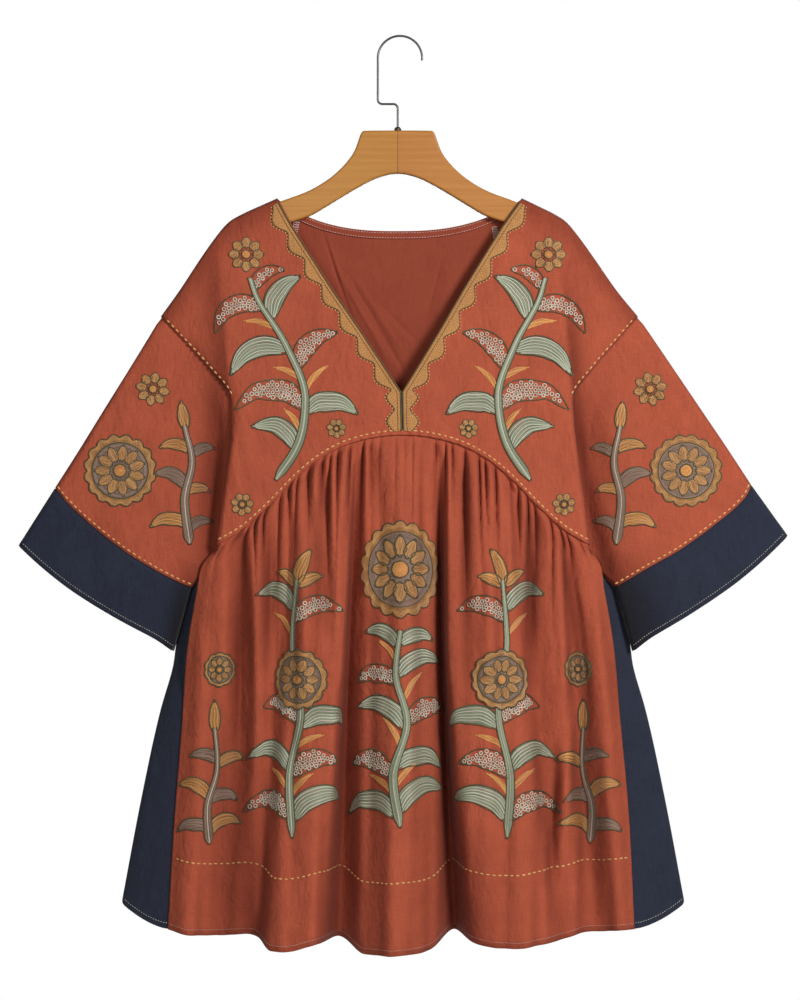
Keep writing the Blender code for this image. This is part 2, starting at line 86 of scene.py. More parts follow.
def declare(obj, slot, cad_node=None):
    """A piece rides on the dress's one body and may stand for a CAD node, which is hidden. slot is not used.
    """
    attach(obj, "root")
    if cad_node:
        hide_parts(cad_node)


def fill(made, values):
    """Sets or links the inputs of a node."""
    for key, value in values.items():
        if isinstance(value, bpy.types.NodeSocket):
            made.id_data.links.new(made.inputs[key], value)
        else:
            made.inputs[key].default_value = value


def node(tree, kind, values=None, out=0, **settings):
    """A new node with its settings and inputs; returns the output that is asked for."""
    made = tree.nodes.new(kind)
    for key, value in settings.items():
        setattr(made, key, value)
    fill(made, values or {})
    return made.outputs[out]


def material(name, values):
    """A new material, its node tree and its shader, which starts with these values."""
    made = bpy.data.materials.new(name)
    made.use_nodes = True
    shader = made.node_tree.nodes["Principled BSDF"]
    fill(shader, values)
    return made, made.node_tree, shader


def circle(radius, z, sides, x=0.0):
    """Points round a level circle."""
    turns = np.linspace(0, 2 * math.pi, sides, endpoint=False)
    return [(x + radius * math.cos(a), radius * math.sin(a), z) for a in turns]


print("helpers ready")

# %% [markdown]
# ## Camera, light and floor
#
# A garment on a hanger is photographed straight on, from far enough away that both sleeves look
# the same size. The light is soft and comes from in front, a little from the right and above, so
# that the folds show by their own shade. One sun lamp would be simpler, but its sharp shadows draw
# edges that the cloth doesn't have, so broad area lamps are used. The floor is a pale disc well
# below the hem, and the rest of the studio is a plain white world that the lamps outshine.

# %% Camera and lamps
VIEW_DISTANCE, VIEW_HEIGHT, VIEW_HALF_TALL = 2.4, -0.523, 0.565
# Each lamp's place, size in metres and power in watts
LAMPS = {
    "key":  ((1.05, -1.55, 0.1), 0.45, 27.5),
    "fill": ((-0.7, -2.1, -0.1), 0.9, 11.5),
    "back": ((0.5, 2.4, 0.4), 1.8, 34.0),
}
DRESS_MIDDLE = Vector((0.0, 0.0, -0.55))

camera_data = bpy.data.cameras.new("camera")
camera_data.angle = 2 * math.atan(VIEW_HALF_TALL / VIEW_DISTANCE)
camera = add_object("camera", camera_data)
camera.location = (0.0, -VIEW_DISTANCE, VIEW_HEIGHT)
camera.rotation_euler = (math.pi / 2, 0.0, 0.0)
scene.camera = camera
scene.view_settings.view_transform = "Standard"
for name, (place, size, power) in LAMPS.items():
    lamp = bpy.data.lights.new(name, "AREA")
    lamp.size = size
    lamp.energy = power
    holder = add_object(name, lamp)
    holder.location = place
    holder.rotation_euler = (DRESS_MIDDLE - Vector(place)).to_track_quat("-Z", "Y").to_euler()
print("camera stands", VIEW_DISTANCE, "m in front of the dress; lamps:", list(LAMPS))

# %% World and floor
FLOOR_Z, FLOOR_RADIUS, FLOOR_SIDES = -1.32, 0.95, 96
WORLD_LIGHT, WORLD_SEEN = 0.06, 1.0
LIT_TONE, SEEN_TONE, FLOOR_TONE = (1.0, 0.985, 0.965, 1.0), (1.0, 1.0, 1.0, 1.0), (0.9, 0.89, 0.87, 1.0)

world = bpy.data.worlds.new("studio")
world.use_nodes = True
scene.world = world
around = world.node_tree
lit = around.nodes["Background"]
fill(lit, {"Strength": WORLD_LIGHT, "Color": LIT_TONE})
seen = node(around, "ShaderNodeBackground", {"Strength": WORLD_SEEN, "Color": SEEN_TONE})
direct = node(around, "ShaderNodeLightPath", out="Is Camera Ray")
studio = node(around, "ShaderNodeMixShader", {"Fac": direct, 1: lit.outputs["Background"], 2: seen})
fill(around.nodes["World Output"], {"Surface": studio})

floor_mesh = bpy.data.meshes.new("floor")
floor_mesh.from_pydata(circle(FLOOR_RADIUS, FLOOR_Z, FLOOR_SIDES), [], [list(range(FLOOR_SIDES))])
floor_mesh.materials.append(material("pale floor", {"Base Color": FLOOR_TONE, "Roughness": 0.7})[0])
add_object("floor", floor_mesh)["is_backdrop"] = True
print("floor", FLOOR_RADIUS, "m round at", FLOOR_Z, "m")

# %% [markdown]
# ## Smooth lines from short tables
#
# Every panel is worked out from a few measured places, as a pattern cutter would note them. The
# places could be handles of a Bezier curve, but such a curve can't be read at a given height. These
# helpers turn a short table into a smooth line that can. The slope at each place is held back where
# the line turns, so that a smooth line never swings past its own measures.

# %% Lines and easing
def smooth(x, y, value):
    """Cubic pieces through the points, with the slope at each one kept from overshooting."""
    steps = np.diff(y) / np.diff(x)
    slopes = np.concatenate([steps[:1], (steps[1:] + steps[:-1]) / 2, steps[-1:]])
    slopes[np.concatenate([[False], steps[1:] * steps[:-1] <= 0, [False]])] = 0.0
    value = np.clip(value, x[0], x[-1])
    i = np.clip(np.searchsorted(x, value) - 1, 0, len(x) - 2)
    wide, rise = x[i + 1] - x[i], y[i + 1] - y[i]
    t = (value - x[i]) / wide
    start, end = slopes[i] * wide, slopes[i + 1] * wide
    return y[i] + t * start + t * t * (3 * rise - 2 * start - end) + t**3 * (start + end - 2 * rise)


def along(table, value):
    """A smooth line through pairs in millimetres, read at a value in metres."""
    pairs = np.array(sorted(table), float) * MM
    return smooth(pairs[:, 0], pairs[:, 1], value)


def eased(t):
    """0 to 1 with a soft start and end."""
    t = np.clip(t, 0.0, 1.0)
    return t * t * (3 - 2 * t)


def rounded(distance, radius):
    """0 at an edge, 1 from one radius away, on a quarter ellipse."""
    return np.sqrt(1 - (1 - np.clip(distance / radius, 0.0, 1.0)) ** 2)


def lengths(points):
    """How long a line of points is up to each of them."""
    return np.concatenate([[0], np.cumsum(np.linalg.norm(np.diff(points, axis=0), axis=1))])


print("halfway through an eased step:", float(eased(0.5)))

# %% The dress's measures, in metres or in tables of millimetres
CLOTH, SEAM_GAP, LAP = 1.2 * MM, 0.3 * MM, 6.0 * MM
LAP_STEP = CLOTH + SEAM_GAP
NECK_X, NECK_Z, V_BOTTOM, BACK_NECK_Z = 138 * MM, -182.6 * MM, -402 * MM, -218 * MM
ARM_X, ARM_Z = 269 * MM, -316 * MM
SIDE_X, SIDE_Z = 210 * MM, -574 * MM
BACK_SEAM_Z, HEM_Z = -515 * MM, -1003.6 * MM
CROWN, ARMHOLE_DEPTH = 4.0 * MM, 7.0 * MM
SHOULDER = [
    (138, -182.6), (157, -191.4), (177, -201), (191, -210),
    (206, -228), (223, -252), (246, -286), (269, -316),
]
ARCH = [(-60, -460), (0, -450), (60, -460), (94, -477), (122, -500), (150, -529), (180, -556), (210, -574)]
ARMHOLE = [(-574, 210), (-486, 198.5), (-430, 193), (-402, 195), (-375, 216), (-316, 269)]
# The whole dress hangs a little to one side: x is moved by this much at each height
LEAN = [(-184, -0.5), (-219, -3), (-286, -2.2), (-330, 0), (-421, 2.3), (-480, 3.5), (-1030, 3.5)]
FRONT_DEPTH = [(-572, 24), (-450, 21), (-350, 16), (-250, 11.5), (-184, 8.6)]
BACK_DEPTH = [(-572, 16), (-450, 14.5), (-300, 11), (-184, 8.6)]
SIDE_TURN = [(-572, 7), (-450, 8), (-402, 18), (-316, 60)]
WORDS = {1: "right", -1: "left"}


def shoulder_line(x):
    """Height of the shoulder fold, carried on inwards past the neck at the hanger's slope."""
    x = np.abs(x)
    return np.where(x < NECK_X, NECK_Z + 0.35 * (NECK_X - x), along(SHOULDER, x))


def yoke_depth(x, z, table):
    """How far a yoke stands from the middle plane: a crown over the hanger, a turned armhole edge."""
    x = np.abs(x)
    crown = rounded((shoulder_line(x) - z) * 0.8, CROWN)
    edge = ARMHOLE_DEPTH + LAP_STEP
    turn = rounded(along(ARMHOLE, z) - x, along(SIDE_TURN, z))
    return crown * (edge + (along(table, z) - edge) * turn)


def v_neck(x):
    """Height of the front neckline: a straight V."""
    return V_BOTTOM + (NECK_Z - V_BOTTOM) * np.abs(x) / NECK_X


def back_neck(x):
    """Height of the back neckline: a shallow scoop."""
    return BACK_NECK_Z + (NECK_Z - BACK_NECK_Z) * (np.abs(x) / NECK_X) ** 2.6


def front_seam(x):
    """Height of the arched seam under the front yoke."""
    return along(ARCH, np.abs(x))


def back_seam(x):
    """Height of the flatter seam under the back yoke."""
    return BACK_SEAM_Z + (SIDE_Z - BACK_SEAM_Z) * (np.abs(x) / SIDE_X) ** 2


print("yoke stands out", round(float(yoke_depth(0.1, -0.4, FRONT_DEPTH)) / MM, 1), "mm at the chest")

# %% [markdown]
# ## Finishes
#
# Cotton has three scales: the weave, the slubs that run a few centimetres along a thread, and the
# soft clouds that washing and pressing leave. They could be painted as images, but waves and noise
# stay sharp at any distance and fit every panel. All three come from one node group, the wrinkles of
# hanging cloth come from another, and each cloth uses both with its own values. The colours and the
# gloss stay on each material's own shader.

# %% Helpers for finishes
def maths(tree, kind, *values):
    """A math node on outputs or numbers."""
    return node(tree, "ShaderNodeMath", dict(enumerate(values)), operation=kind)


def weighed(tree, one, share, other, rest):
    """The sum of two outputs, each times its weight."""
    return maths(tree, "ADD", maths(tree, "MULTIPLY", one, share), maths(tree, "MULTIPLY", other, rest))


def spot(tree):
    """The place on the object."""
    return node(tree, "ShaderNodeTexCoord", out="Object")


def stretched(tree, place, scale, rotation=(0.0, 0.0, 0.0)):
    """A place turned and scaled."""
    return node(tree, "ShaderNodeMapping", {"Vector": place, "Scale": scale, "Rotation": rotation})


def noise(tree, place, scale, detail, rough=0.5, bent=0.0):
    """Noise at a place."""
    values = {"Vector": place, "Scale": scale, "Detail": detail, "Roughness": rough, "Distortion": bent}
    return node(tree, "ShaderNodeTexNoise", values, "Fac")


def ramp(tree, value, low, dark, high, light):
    """A colour between two, by a value."""
    colour = node(tree, "ShaderNodeValToRGB", {"Fac": value}, "Color")
    for end, place, tone in zip(colour.node.color_ramp.elements, (low, high), (dark, light)):
        end.position = place
        end.color = (*tone, 1.0)
    return colour


def tinted(tree, colour, share, tone, kind="MULTIPLY"):
    """A colour changed by a tone, as far as the share says."""
    values = {"Factor": share, "A": colour, "B": (*tone, 1.0)}
    return node(tree, "ShaderNodeMix", values, "Result", data_type="RGBA", blend_type=kind)


def span(tree, value, low, high):
    """A value from 0 to 1 moved to another range."""
    return node(tree, "ShaderNodeMapRange", {"Value": value, "To Min": low, "To Max": high}, "Result")


def bump(tree, height, strength, distance, **more):
    """A normal from a height."""
    values = {"Height": height, "Strength": strength, "Distance": distance, **more}
    return node(tree, "ShaderNodeBump", values, "Normal")


def group(name, kind, inputs, outputs, start=()):
    """An empty node group with named sockets; returns it, what goes in, and its end."""
    tree = bpy.data.node_groups.new(name, kind)
    for way, sockets in (("INPUT", inputs), ("OUTPUT", outputs)):
        for label, sort in sockets.items():
            socket = tree.interface.new_socket(label, in_out=way, socket_type="NodeSocket" + sort)
            if label in start:
                socket.default_value = start[label]
    return tree, tree.nodes.new("NodeGroupInput").outputs, tree.nodes.new("NodeGroupOutput")


print("finish helpers ready")

# %% The weave and the soft wrinkles, shared by every cloth
# A Wave Texture of scale 1 turns through this many radians a metre
WAVE_TURNS = 20.0
SLUB_STRETCHES = ((55.0, 1500.0, 1.0), (1300.0, 45.0, 1.0))
WRINKLE_SIZE, FINER, FINER_SHARE = 30.0, 3.7, 0.3

weave, given, end = group(
    "plain weave", "ShaderNodeTree", {"Cloth": "Vector", "Pitch": "Float"},
    {"Height": "Float", "Slub": "Float", "Cloud": "Float"}, {"Pitch": 0.8 * MM},
)
wave_values = {
    "Vector": given["Cloth"], "Scale": maths(weave, "DIVIDE", 2 * math.pi / WAVE_TURNS, given["Pitch"]),
    "Distortion": 1.2, "Detail": 1.0,
}
waves = [node(weave, "ShaderNodeTexWave", wave_values, "Fac", bands_direction=way) for way in "XY"]
slubs = [noise(weave, stretched(weave, given["Cloth"], scale), 1.0, 2.0, 0.6) for scale in SLUB_STRETCHES]
fill(end, {
    "Height": maths(weave, "MAXIMUM", *waves),
    "Slub": maths(weave, "MULTIPLY", maths(weave, "ADD", *slubs), 0.5),
    "Cloud": noise(weave, given["Cloth"], 26.0, 3.0, 0.55),
})

wrinkle, given, end = group(
    "soft wrinkles", "ShaderNodeTree", {"Place": "Vector", "Size": "Float"}, {"Height": "Float"},
    {"Size": WRINKLE_SIZE},
)
bent = stretched(wrinkle, given["Place"], (1.0, 0.5, 0.55), (0.0, 0.35, 0.0))
large = noise(wrinkle, bent, given["Size"], 3.0, 0.5, 0.6)
small = noise(wrinkle, bent, maths(wrinkle, "MULTIPLY", given["Size"], FINER), 2.0, 0.5, 1.2)
fill(end, {"Height": maths(wrinkle, "ADD", large, maths(wrinkle, "MULTIPLY", small, FINER_SHARE))})
print("weave and wrinkle groups have", len(weave.nodes), "and", len(wrinkle.nodes), "nodes")

# %% Cloth materials
# Painted shade: the tone that a colour is multiplied by where a piece is fully shaded
PAINTED_SHADE_TONE = (0.23, 0.12, 0.08)
ROUGH_LOW, ROUGH_HIGH = 0.1, 0.15


def with_painted_shade(tree, colour):
    """The colour darkened and reddened by painted shade, as far as the mesh's shade attribute says."""
    hollow = node(tree, "ShaderNodeAttribute", out="Fac", attribute_name="hollow")
    return tinted(tree, colour, hollow, PAINTED_SHADE_TONE)


def cloth_material(name, dark, light, pitch, wrinkle_deep, sheen=0.05, rough=0.86):
    """Woven cotton: weave and wrinkles as bump, slubs and clouds as colour, and painted shade from the mesh.
    """
    start = {"Sheen Weight": sheen, "Sheen Roughness": 0.45, "Specular IOR Level": 0.25}
    made, tree, shader = material(name, start)
    uv = node(tree, "ShaderNodeUVMap", uv_map="cloth")
    threads = node(tree, "ShaderNodeGroup", {"Cloth": uv, "Pitch": pitch}, node_tree=weave).node.outputs
    soft = node(tree, "ShaderNodeGroup", {"Place": spot(tree), "Size": WRINKLE_SIZE}, node_tree=wrinkle)
    tone = weighed(tree, threads["Slub"], 0.8, threads["Cloud"], 0.3)
    deep = bump(tree, soft, 1.0, wrinkle_deep)
    fill(shader, {
        "Base Color": with_painted_shade(tree, ramp(tree, tone, 0.38, dark, 0.72, light)),
        "Roughness": span(tree, threads["Cloud"], rough - 0.06, rough + 0.06),
        "Normal": bump(tree, threads["Height"], 0.5, 0.12 * MM, Normal=deep),
    })
    return made


TERRACOTTA = cloth_material(
    "terracotta cotton", (0.385, 0.074, 0.037), (0.545, 0.113, 0.054), 0.8 * MM, 4.6 * MM,
)
# The inner walls are a darker terracotta than the outer face
DARKER_INSIDE = cloth_material(
    "terracotta inside, darker", (0.275, 0.05, 0.025), (0.35, 0.067, 0.033), 0.8 * MM, 2.2 * MM,
)
NAVY = cloth_material(
    "navy cotton", (0.016, 0.0195, 0.036), (0.029, 0.0345, 0.061), 0.7 * MM, 4.6 * MM, sheen=0.2,
)
BORDER = cloth_material(
    "ochre stitched border", (0.4, 0.165, 0.045), (0.62, 0.31, 0.1), 1.3 * MM, 0.5 * MM, rough=0.7,
)
SLOTS = {
    TERRACOTTA.name: "terracotta_cotton", DARKER_INSIDE.name: "terracotta_cotton",
    NAVY.name: "navy_cotton", BORDER.name: "ochre_embroidery",
}
print("cloths:", list(SLOTS))

# %% [markdown]
# ## Thread
#
# Thread is shinier than cloth, and neighbours differ a little, because the light catches each strand
# in its own way. Several materials of each colour could do that. One is enough here, because each
# sewn thread carries a number from 0 to 1, its own tone.

# %% Thread materials
THREAD_TONES = {
    "sage":   ((0.17, 0.2, 0.12), (0.4, 0.44, 0.3)),
    "cream":  ((0.5, 0.46, 0.35), (0.76, 0.71, 0.57)),
    "olive":  ((0.055, 0.047, 0.016), (0.12, 0.098, 0.036)),
    "ochre":  ((0.36, 0.16, 0.045), (0.64, 0.33, 0.11)),
    "orange": ((0.6, 0.24, 0.06), (0.86, 0.42, 0.12)),
    "taupe":  ((0.2, 0.115, 0.075), (0.38, 0.25, 0.18)),
    "gold":   ((0.68, 0.32, 0.09), (0.92, 0.52, 0.2)),
    "pale":   ((0.6, 0.36, 0.3), (0.85, 0.62, 0.55)),
    "brown":  ((0.12, 0.04, 0.015), (0.22, 0.08, 0.03)),
}


def thread_material(name, dark, light, rough=0.5):
    """Embroidery thread with a soft gloss. The tone of each strand and its painted shade come with the mesh.
    """
    made, tree, shader = material(name + " thread", {"Sheen Weight": 0.25, "Sheen Roughness": 0.35})
    fluff = noise(tree, spot(tree), 900.0, 2.0)
    own = node(tree, "ShaderNodeAttribute", out="Fac", attribute_name="tone")
    tone = weighed(tree, own, 0.7, fluff, 0.3)
    fill(shader, {
        "Base Color": with_painted_shade(tree, ramp(tree, tone, 0.1, dark, 0.9, light)),
        "Roughness": span(tree, fluff, rough - ROUGH_LOW, rough + ROUGH_HIGH),
        "Normal": bump(tree, fluff, 0.6, 0.1 * MM),
    })
    return made


THREADS = {name: thread_material(name, *tones) for name, tones in THREAD_TONES.items()}
print("threads:", list(THREADS))

# %% [markdown]
# ## Cloth as a thin wall
#
# Real cotton hangs by its own weight. A cloth simulation could drape it, but the folds would then
# fall in other places than on this dress. So each panel is a grid of points that a rule places, and
# a Solidify modifier gives it its thickness. The grid has a UV map in metres of cloth, so the weave
# keeps its real size however the cloth folds.

# %% Panels
pieces = {}


def grid_faces(tall, wide, ring, closed=False):
    """The quads of a grid of points. A ring joins its sides, and a closed one its top and foot too."""
    down, across = np.arange(tall if closed else tall - 1), np.arange(wide if ring else wide - 1)
    i, j = np.meshgrid(down, across, indexing="ij")
    k, below = (j + 1) % wide, (i + 1) % tall
    corners = [i * wide + j, i * wide + k, below * wide + k, below * wide + j]
    return np.stack(corners, axis=-1).reshape(-1, 4)


def cloth_uv(rows, ring, flat):
    """UV of each grid point, in metres: across and down the cloth, or simply its place if it is flat."""
    tall, wide = rows.shape[:2]
    if flat:
        return rows[:, :, ::2]
    across = lengths(np.concatenate([rows[tall // 2], rows[tall // 2, :1]]) if ring else rows[tall // 2])
    down = lengths(rows[:, wide // 2])
    return np.stack(np.broadcast_arrays(across[None, :wide], -down[:, None]), axis=2)


def panel(name, rows, colour, thick=CLOTH, ring=False, flat=True, leans=True, inside=None, hollow=None):
    """A cloth panel on a grid of points, standing for the CAD node of the same name."""
    if leans:
        rows[:, :, 0] += along(LEAN, rows[:, :, 2])
    places, faces = rows.reshape(-1, 3), grid_faces(*rows.shape[:2], ring)
    a, b, c = (places[faces[:, n]] for n in (0, 1, 2))
    if np.sum(np.cross(b - a, c - b)[:, 1] * a[:, 1]) < 0:
        faces = faces[:, ::-1]
    mesh = bpy.data.meshes.new(name)
    mesh.from_pydata(places.tolist(), [], faces.tolist())
    uv = cloth_uv(rows, ring, flat).reshape(-1, 2)
    mesh.uv_layers.new(name="cloth").data.foreach_set("uv", uv[faces.ravel()].ravel())
    # The panel's painted shade, 0 to 1, goes with its points for the material to darken the colour
    if hollow is not None:
        mesh.attributes.new("hollow", "FLOAT", "POINT").data.foreach_set("value", hollow.ravel())
    mesh.shade_smooth()
    mesh.materials.append(colour)
    obj = add_object("cloth_" + name, mesh)
    wall = obj.modifiers.new("Wall", "SOLIDIFY")
    wall.thickness = thick
    wall.offset = 0.0
    wall.use_even_offset = False
    if inside:
        mesh.materials.append(inside)
        wall.material_offset = 1
    declare(obj, SLOTS[colour.name], name)
    pieces[name] = obj
    print(name, "has", len(faces), "quads")


print("slots:", sorted(set(SLOTS.values())))

# %% Creases and painted shade
def soft_lines(x, z, table):
    """Each row's fade at its ends, the distance to its right, and the rest of the row."""
    for x1, z1, x2, z2, *rest in table:
        way_x, way_z = (x2 - x1) * MM, (z2 - z1) * MM
        long = math.hypot(way_x, way_z)
        t = ((x - x1 * MM) * way_x + (z - z1 * MM) * way_z) / long**2
        off = ((z - z1 * MM) * way_x - (x - x1 * MM) * way_z) / long
        yield np.sin(math.pi * np.clip(t, 0, 1)) ** 0.7, off, rest


def creased(x, z, table):
    """Height of hand-placed creases. Rows: from x, z to x, z, half width and height, in millimetres."""
    lines = soft_lines(x, z, table)
    return sum(deep * MM * fade * np.exp(-((off / (wide * MM)) ** 2)) for fade, off, (wide, deep) in lines)


def shaded(x, z, table):
    """How much shade is painted on the cloth, 0 to 1. Rows: from x, z to x, z, half widths left and right,
    strength.
    """
    lit = 1.0
    for fade, off, (left, right, strength) in soft_lines(x, z, table):
        wide = np.where(off < 0, left, right) * MM
        lit = lit * (1 - strength * fade * np.exp(-((off / wide) ** 2)))
    return 1 - lit


print("a crease of 1 mm, mm:", round(float(creased(0, 0, [(0, -9, 0, 9, 5, 1)])) / MM, 2))

# %% [markdown]
# ## The yokes
#
# Both yokes are cut in one piece with the dropped shoulder. The front one has the V and an arched
# lower edge, the back one a shallow scoop. Creases could be sculpted, but a row of a table is easier
# to read and to move. They are placed where the cloth hangs from the hanger's end, where it
# turns under the arm, and in the back where it was folded.

# %% The measures of the yokes
FRONT_CREASES = [
    # right shoulder, neck, chest and underarm
    (168, -205, 176, -330, 13, 1.8), (188, -222, 200, -345, 10, -1.6), (128, -210, 96, -330, 11, 1.2),
    (150, -330, 118, -440, 16, -1.5), (196, -400, 150, -470, 9, 1.6), (194, -425, 158, -505, 8, -1.5),
    # the same on the left, and beside the slit
    (-172, -208, -186, -320, 12, 1.9), (-150, -206, -150, -318, 10, -1.5), (-120, -215, -84, -335, 10, 1.3),
    (-162, -350, -112, -430, 15, -1.4), (-196, -410, -158, -500, 9, 1.7), (-196, -440, -170, -525, 7, -1.5),
    (-30, -395, -62, -448, 11, 1.1),
]
BACK_CREASES = [
    # fine lines where it was pressed
    (-86, -214, -52, -322, 1.7, 1.9), (-79, -226, -58, -292, 1.7, -1.3), (-56, -268, 2, -372, 1.8, 2.0),
    (-46, -274, 6, -362, 1.6, -1.2), (-70, -258, -14, -366, 1.8, -1.9), (-44, -300, 12, -392, 1.7, 1.7),
    (-22, -300, 26, -352, 1.7, 1.5), (52, -246, 30, -320, 2.0, 1.2),
    # soft hangs and underarms
    (66, -240, 28, -420, 14, -3.4), (-168, -215, -150, -420, 14, 2.0), (172, -215, 160, -430, 13, 2.0),
    (196, -420, 130, -520, 12, -1.9), (-196, -415, -140, -515, 11, -1.8),
]
YOKE_ACROSS = np.unique(np.concatenate([
    np.linspace(0, 0.36, 60), np.linspace(0.36, 0.9, 38), np.linspace(0.9, 1, 13), [0.505, 0.513],
]))
YOKE_DOWN = np.concatenate([np.linspace(0, 0.08, 11), np.linspace(0.08, 1, 82)[1:]])
SEAM_ROLL, SEAM_NEAR, PUCKER, PUCKER_WAVE = 0.8 * MM, 7 * MM, 0.55 * MM, 11.0 * MM
# Creases fade out this far from the armhole, the shoulder and the seam
CALM_ARM, CALM_SHOULDER, CALM_SEAM = 22 * MM, 25 * MM, 30 * MM
# Shade is painted on a yoke beside the body's side fold, and near its shoulder fold
YOKE_SHADE = [(-205, -225, -191, -520, 20, 4, 0.62), (185, -250, 200, -520, 3, 15, 0.64)]
SHOULDER_SHADE, SHOULDER_WIDE = 0.45, 27 * MM
print("creases in the front yoke:", len(FRONT_CREASES), "in the back yoke:", len(BACK_CREASES))

# %% Make the yokes
def yoke(name, neck_line, seam_line, table, creases, side):
    """A yoke from the neck and shoulders down to its seam, both halves in one piece."""
    top_x, seam_x = ARM_X * YOKE_ACROSS, SIDE_X * YOKE_ACROSS
    top_z = np.where(top_x < NECK_X, neck_line(top_x), shoulder_line(top_x))
    seam_z = seam_line(seam_x)
    rows = []
    for down in YOKE_DOWN:
        bow = along(ARMHOLE, ARM_Z + (SIDE_Z - ARM_Z) * down) - (ARM_X + (SIDE_X - ARM_X) * down)
        x = top_x + (seam_x - top_x) * down + bow * YOKE_ACROSS**2
        z = top_z + (seam_z - top_z) * down
        x = np.concatenate([-x[:0:-1], x])
        z = np.concatenate([z[:0:-1], z])
        depth = np.maximum(yoke_depth(x, z, table), 0.8 * SEAM_GAP)
        above = z - seam_line(np.clip(x, -SIDE_X, SIDE_X))
        inside = eased((along(ARMHOLE, z) - np.abs(x)) / CALM_ARM)
        inside = inside * eased((shoulder_line(x) - z) / CALM_SHOULDER)
        depth += creased(x, z, creases) * inside * eased(above / CALM_SEAM)
        near = np.exp(-((above / SEAM_NEAR) ** 2)) * inside
        depth += near * (SEAM_ROLL + PUCKER * np.cos(2 * math.pi * x / PUCKER_WAVE))
        rows.append(np.stack([x, side * depth, z], axis=1))
    rows = np.array(rows)
    x, z = rows[:, :, 0], rows[:, :, 2]
    # Painted shade beside the side fold and under the shoulder fold
    hollow = shaded(x, z, YOKE_SHADE)
    hollow += SHOULDER_SHADE * np.exp(-(((shoulder_line(x) - z) / SHOULDER_WIDE) ** 2))
    panel(name, rows, TERRACOTTA, inside=DARKER_INSIDE, hollow=np.clip(hollow, 0.0, 1.0))


yoke("front_yoke", v_neck, front_seam, FRONT_DEPTH, FRONT_CREASES, -1)
yoke("back_yoke", back_neck, back_seam, BACK_DEPTH, BACK_CREASES, 1)

# %% [markdown]
# ## The skirts
#
# A wide strip of cloth is drawn up on a thread and sewn into a shorter seam. Below the seam it falls
# in a few large folds, and each small gather dies out at its own height. Noise could wrinkle a flat
# panel, but noise doesn't know where the seam is. So the large folds come from a table with one row
# for each ridge and valley, and a gather is a narrow trough between two rounded ridges, because the
# cloth is bunched and the thread pulls it in between.

# %% The measures of the folds
FOLD_LEVELS = np.array([0.0, 0.35, 1.0])
FRONT_EDGE = [
    (-1008, 263.5), (-889, 256.5), (-772, 247.5), (-693, 242), (-627, 231.5), (-593, 224), (-574, 210),
]
# The right seam hangs a little further in than the left one
RIGHT_SEAM_IN = [(-1008, 4.5), (-860, 3), (-690, 5.5), (-625, 5.5), (-590, 3), (-574, 0)]
# x at the seam, at a third and at the hem, the depth at the same three places, and the hem's height
FRONT_FOLDS = [
    # from the left edge to the outer left fold
    (-210, -240, -263.5, 14, 20, 22, -1003.6), (-196, -214, -240, 20, 33, 33, -1008),
    (-178, -180, -206, 22, 21, 18, -1011), (-160, -160, -182, 25, 36, 24, -1008.7),
    (-138, -142, -162, 22, 25, 25, -1011.7), (-118, -122, -146, 26, 40, 48, -1022.6),
    # the left fold, its valley, and the centre fold
    (-92, -96, -124, 26, 43, 56, -1021.9), (-62, -68, -94, 25, 44, 48, -1014.5),
    (-50, -59, -70, 17, 6, 6, -1014.6), (-36, -38, -42, 22, 26, 36, -1028.6),
    (0, -2, -8, 27, 40, 57, -1026.3), (31, 31, 29, 22, 26, 38, -1023.4),
    # the right valley and the right fold
    (43, 44, 57, 17, 5, 5, -1007), (54, 53, 80, 25, 44, 47, -1014),
    (90, 94, 118, 26, 43, 56, -1018.7), (122, 126, 156, 26, 39, 50, -1015),
    # on to the right edge
    (142, 144, 178, 22, 25, 33, -1012), (163, 166, 200, 25, 35, 26, -1007.2),
    (182, 190, 222, 22, 22, 17, -1006.3), (196, 216, 244, 20, 32, 30, -1003.5),
    (210, 240, 263.5, 14, 20, 22, -1003.6),
]
# ridges and valleys of the back, in turn
BACK_FOLDS = [
    (-210, -240, -263.5, 12, 16, 20, -1003.6), (-196, -208, -228, 18, 26, 34, -1009),
    (-165, -168, -186, 16, 16, 14, -1007), (-135, -138, -150, 19, 30, 42, -1014),
    (-96, -100, -108, 17, 16, 14, -1008), (-62, -64, -68, 19, 32, 46, -1016),
    (-12, -16, -22, 17, 15, 12, -1009), (30, 30, 26, 19, 32, 46, -1016),
    (70, 72, 74, 17, 15, 14, -1008), (112, 116, 124, 19, 31, 44, -1014),
    (150, 158, 172, 16, 16, 14, -1007), (192, 204, 222, 18, 26, 34, -1008),
    (210, 240, 263.5, 12, 16, 20, -1003.6),
]
FINE_STEPS = 40


def fold_row(folds, share, count):
    """x, depth and the x at the seam that it hangs from, at even steps of cloth across the skirt."""
    table = np.array(folds, float) * MM
    level_x, level_y = (
        np.array([smooth(FOLD_LEVELS, row[first:first + 3], share) for row in table]) for first in (0, 3)
    )
    edge_z, outer = SIDE_Z + (HEM_Z - SIDE_Z) * share, level_x[-1]
    edge = along(FRONT_EDGE, edge_z) - np.where(level_x > 0, along(RIGHT_SEAM_IN, edge_z), 0.0)
    level_x += np.sign(level_x) * (edge - outer) * (np.abs(level_x) / outer) ** 6
    places = np.arange(len(table), dtype=float)
    fine = np.linspace(0, len(table) - 1, FINE_STEPS * len(table))
    x, y = smooth(places, level_x, fine), smooth(places, level_y, fine)
    length = lengths(np.stack([x, y], axis=1))
    steps = np.linspace(0, length[-1], count + 1)
    hangs = np.interp(steps, length, smooth(places, table[:, 0], fine))
    return np.interp(steps, length, x), np.interp(steps, length, y), hangs


def hem_line(folds, count):
    """Height of the hem across the skirt: folds that stand forward hang lower."""
    table = np.array(folds, float) * MM
    return smooth(table[:, 2], table[:, 6], fold_row(folds, 1.0, count)[0])


print("front folds:", len(FRONT_FOLDS), "back folds:", len(BACK_FOLDS))

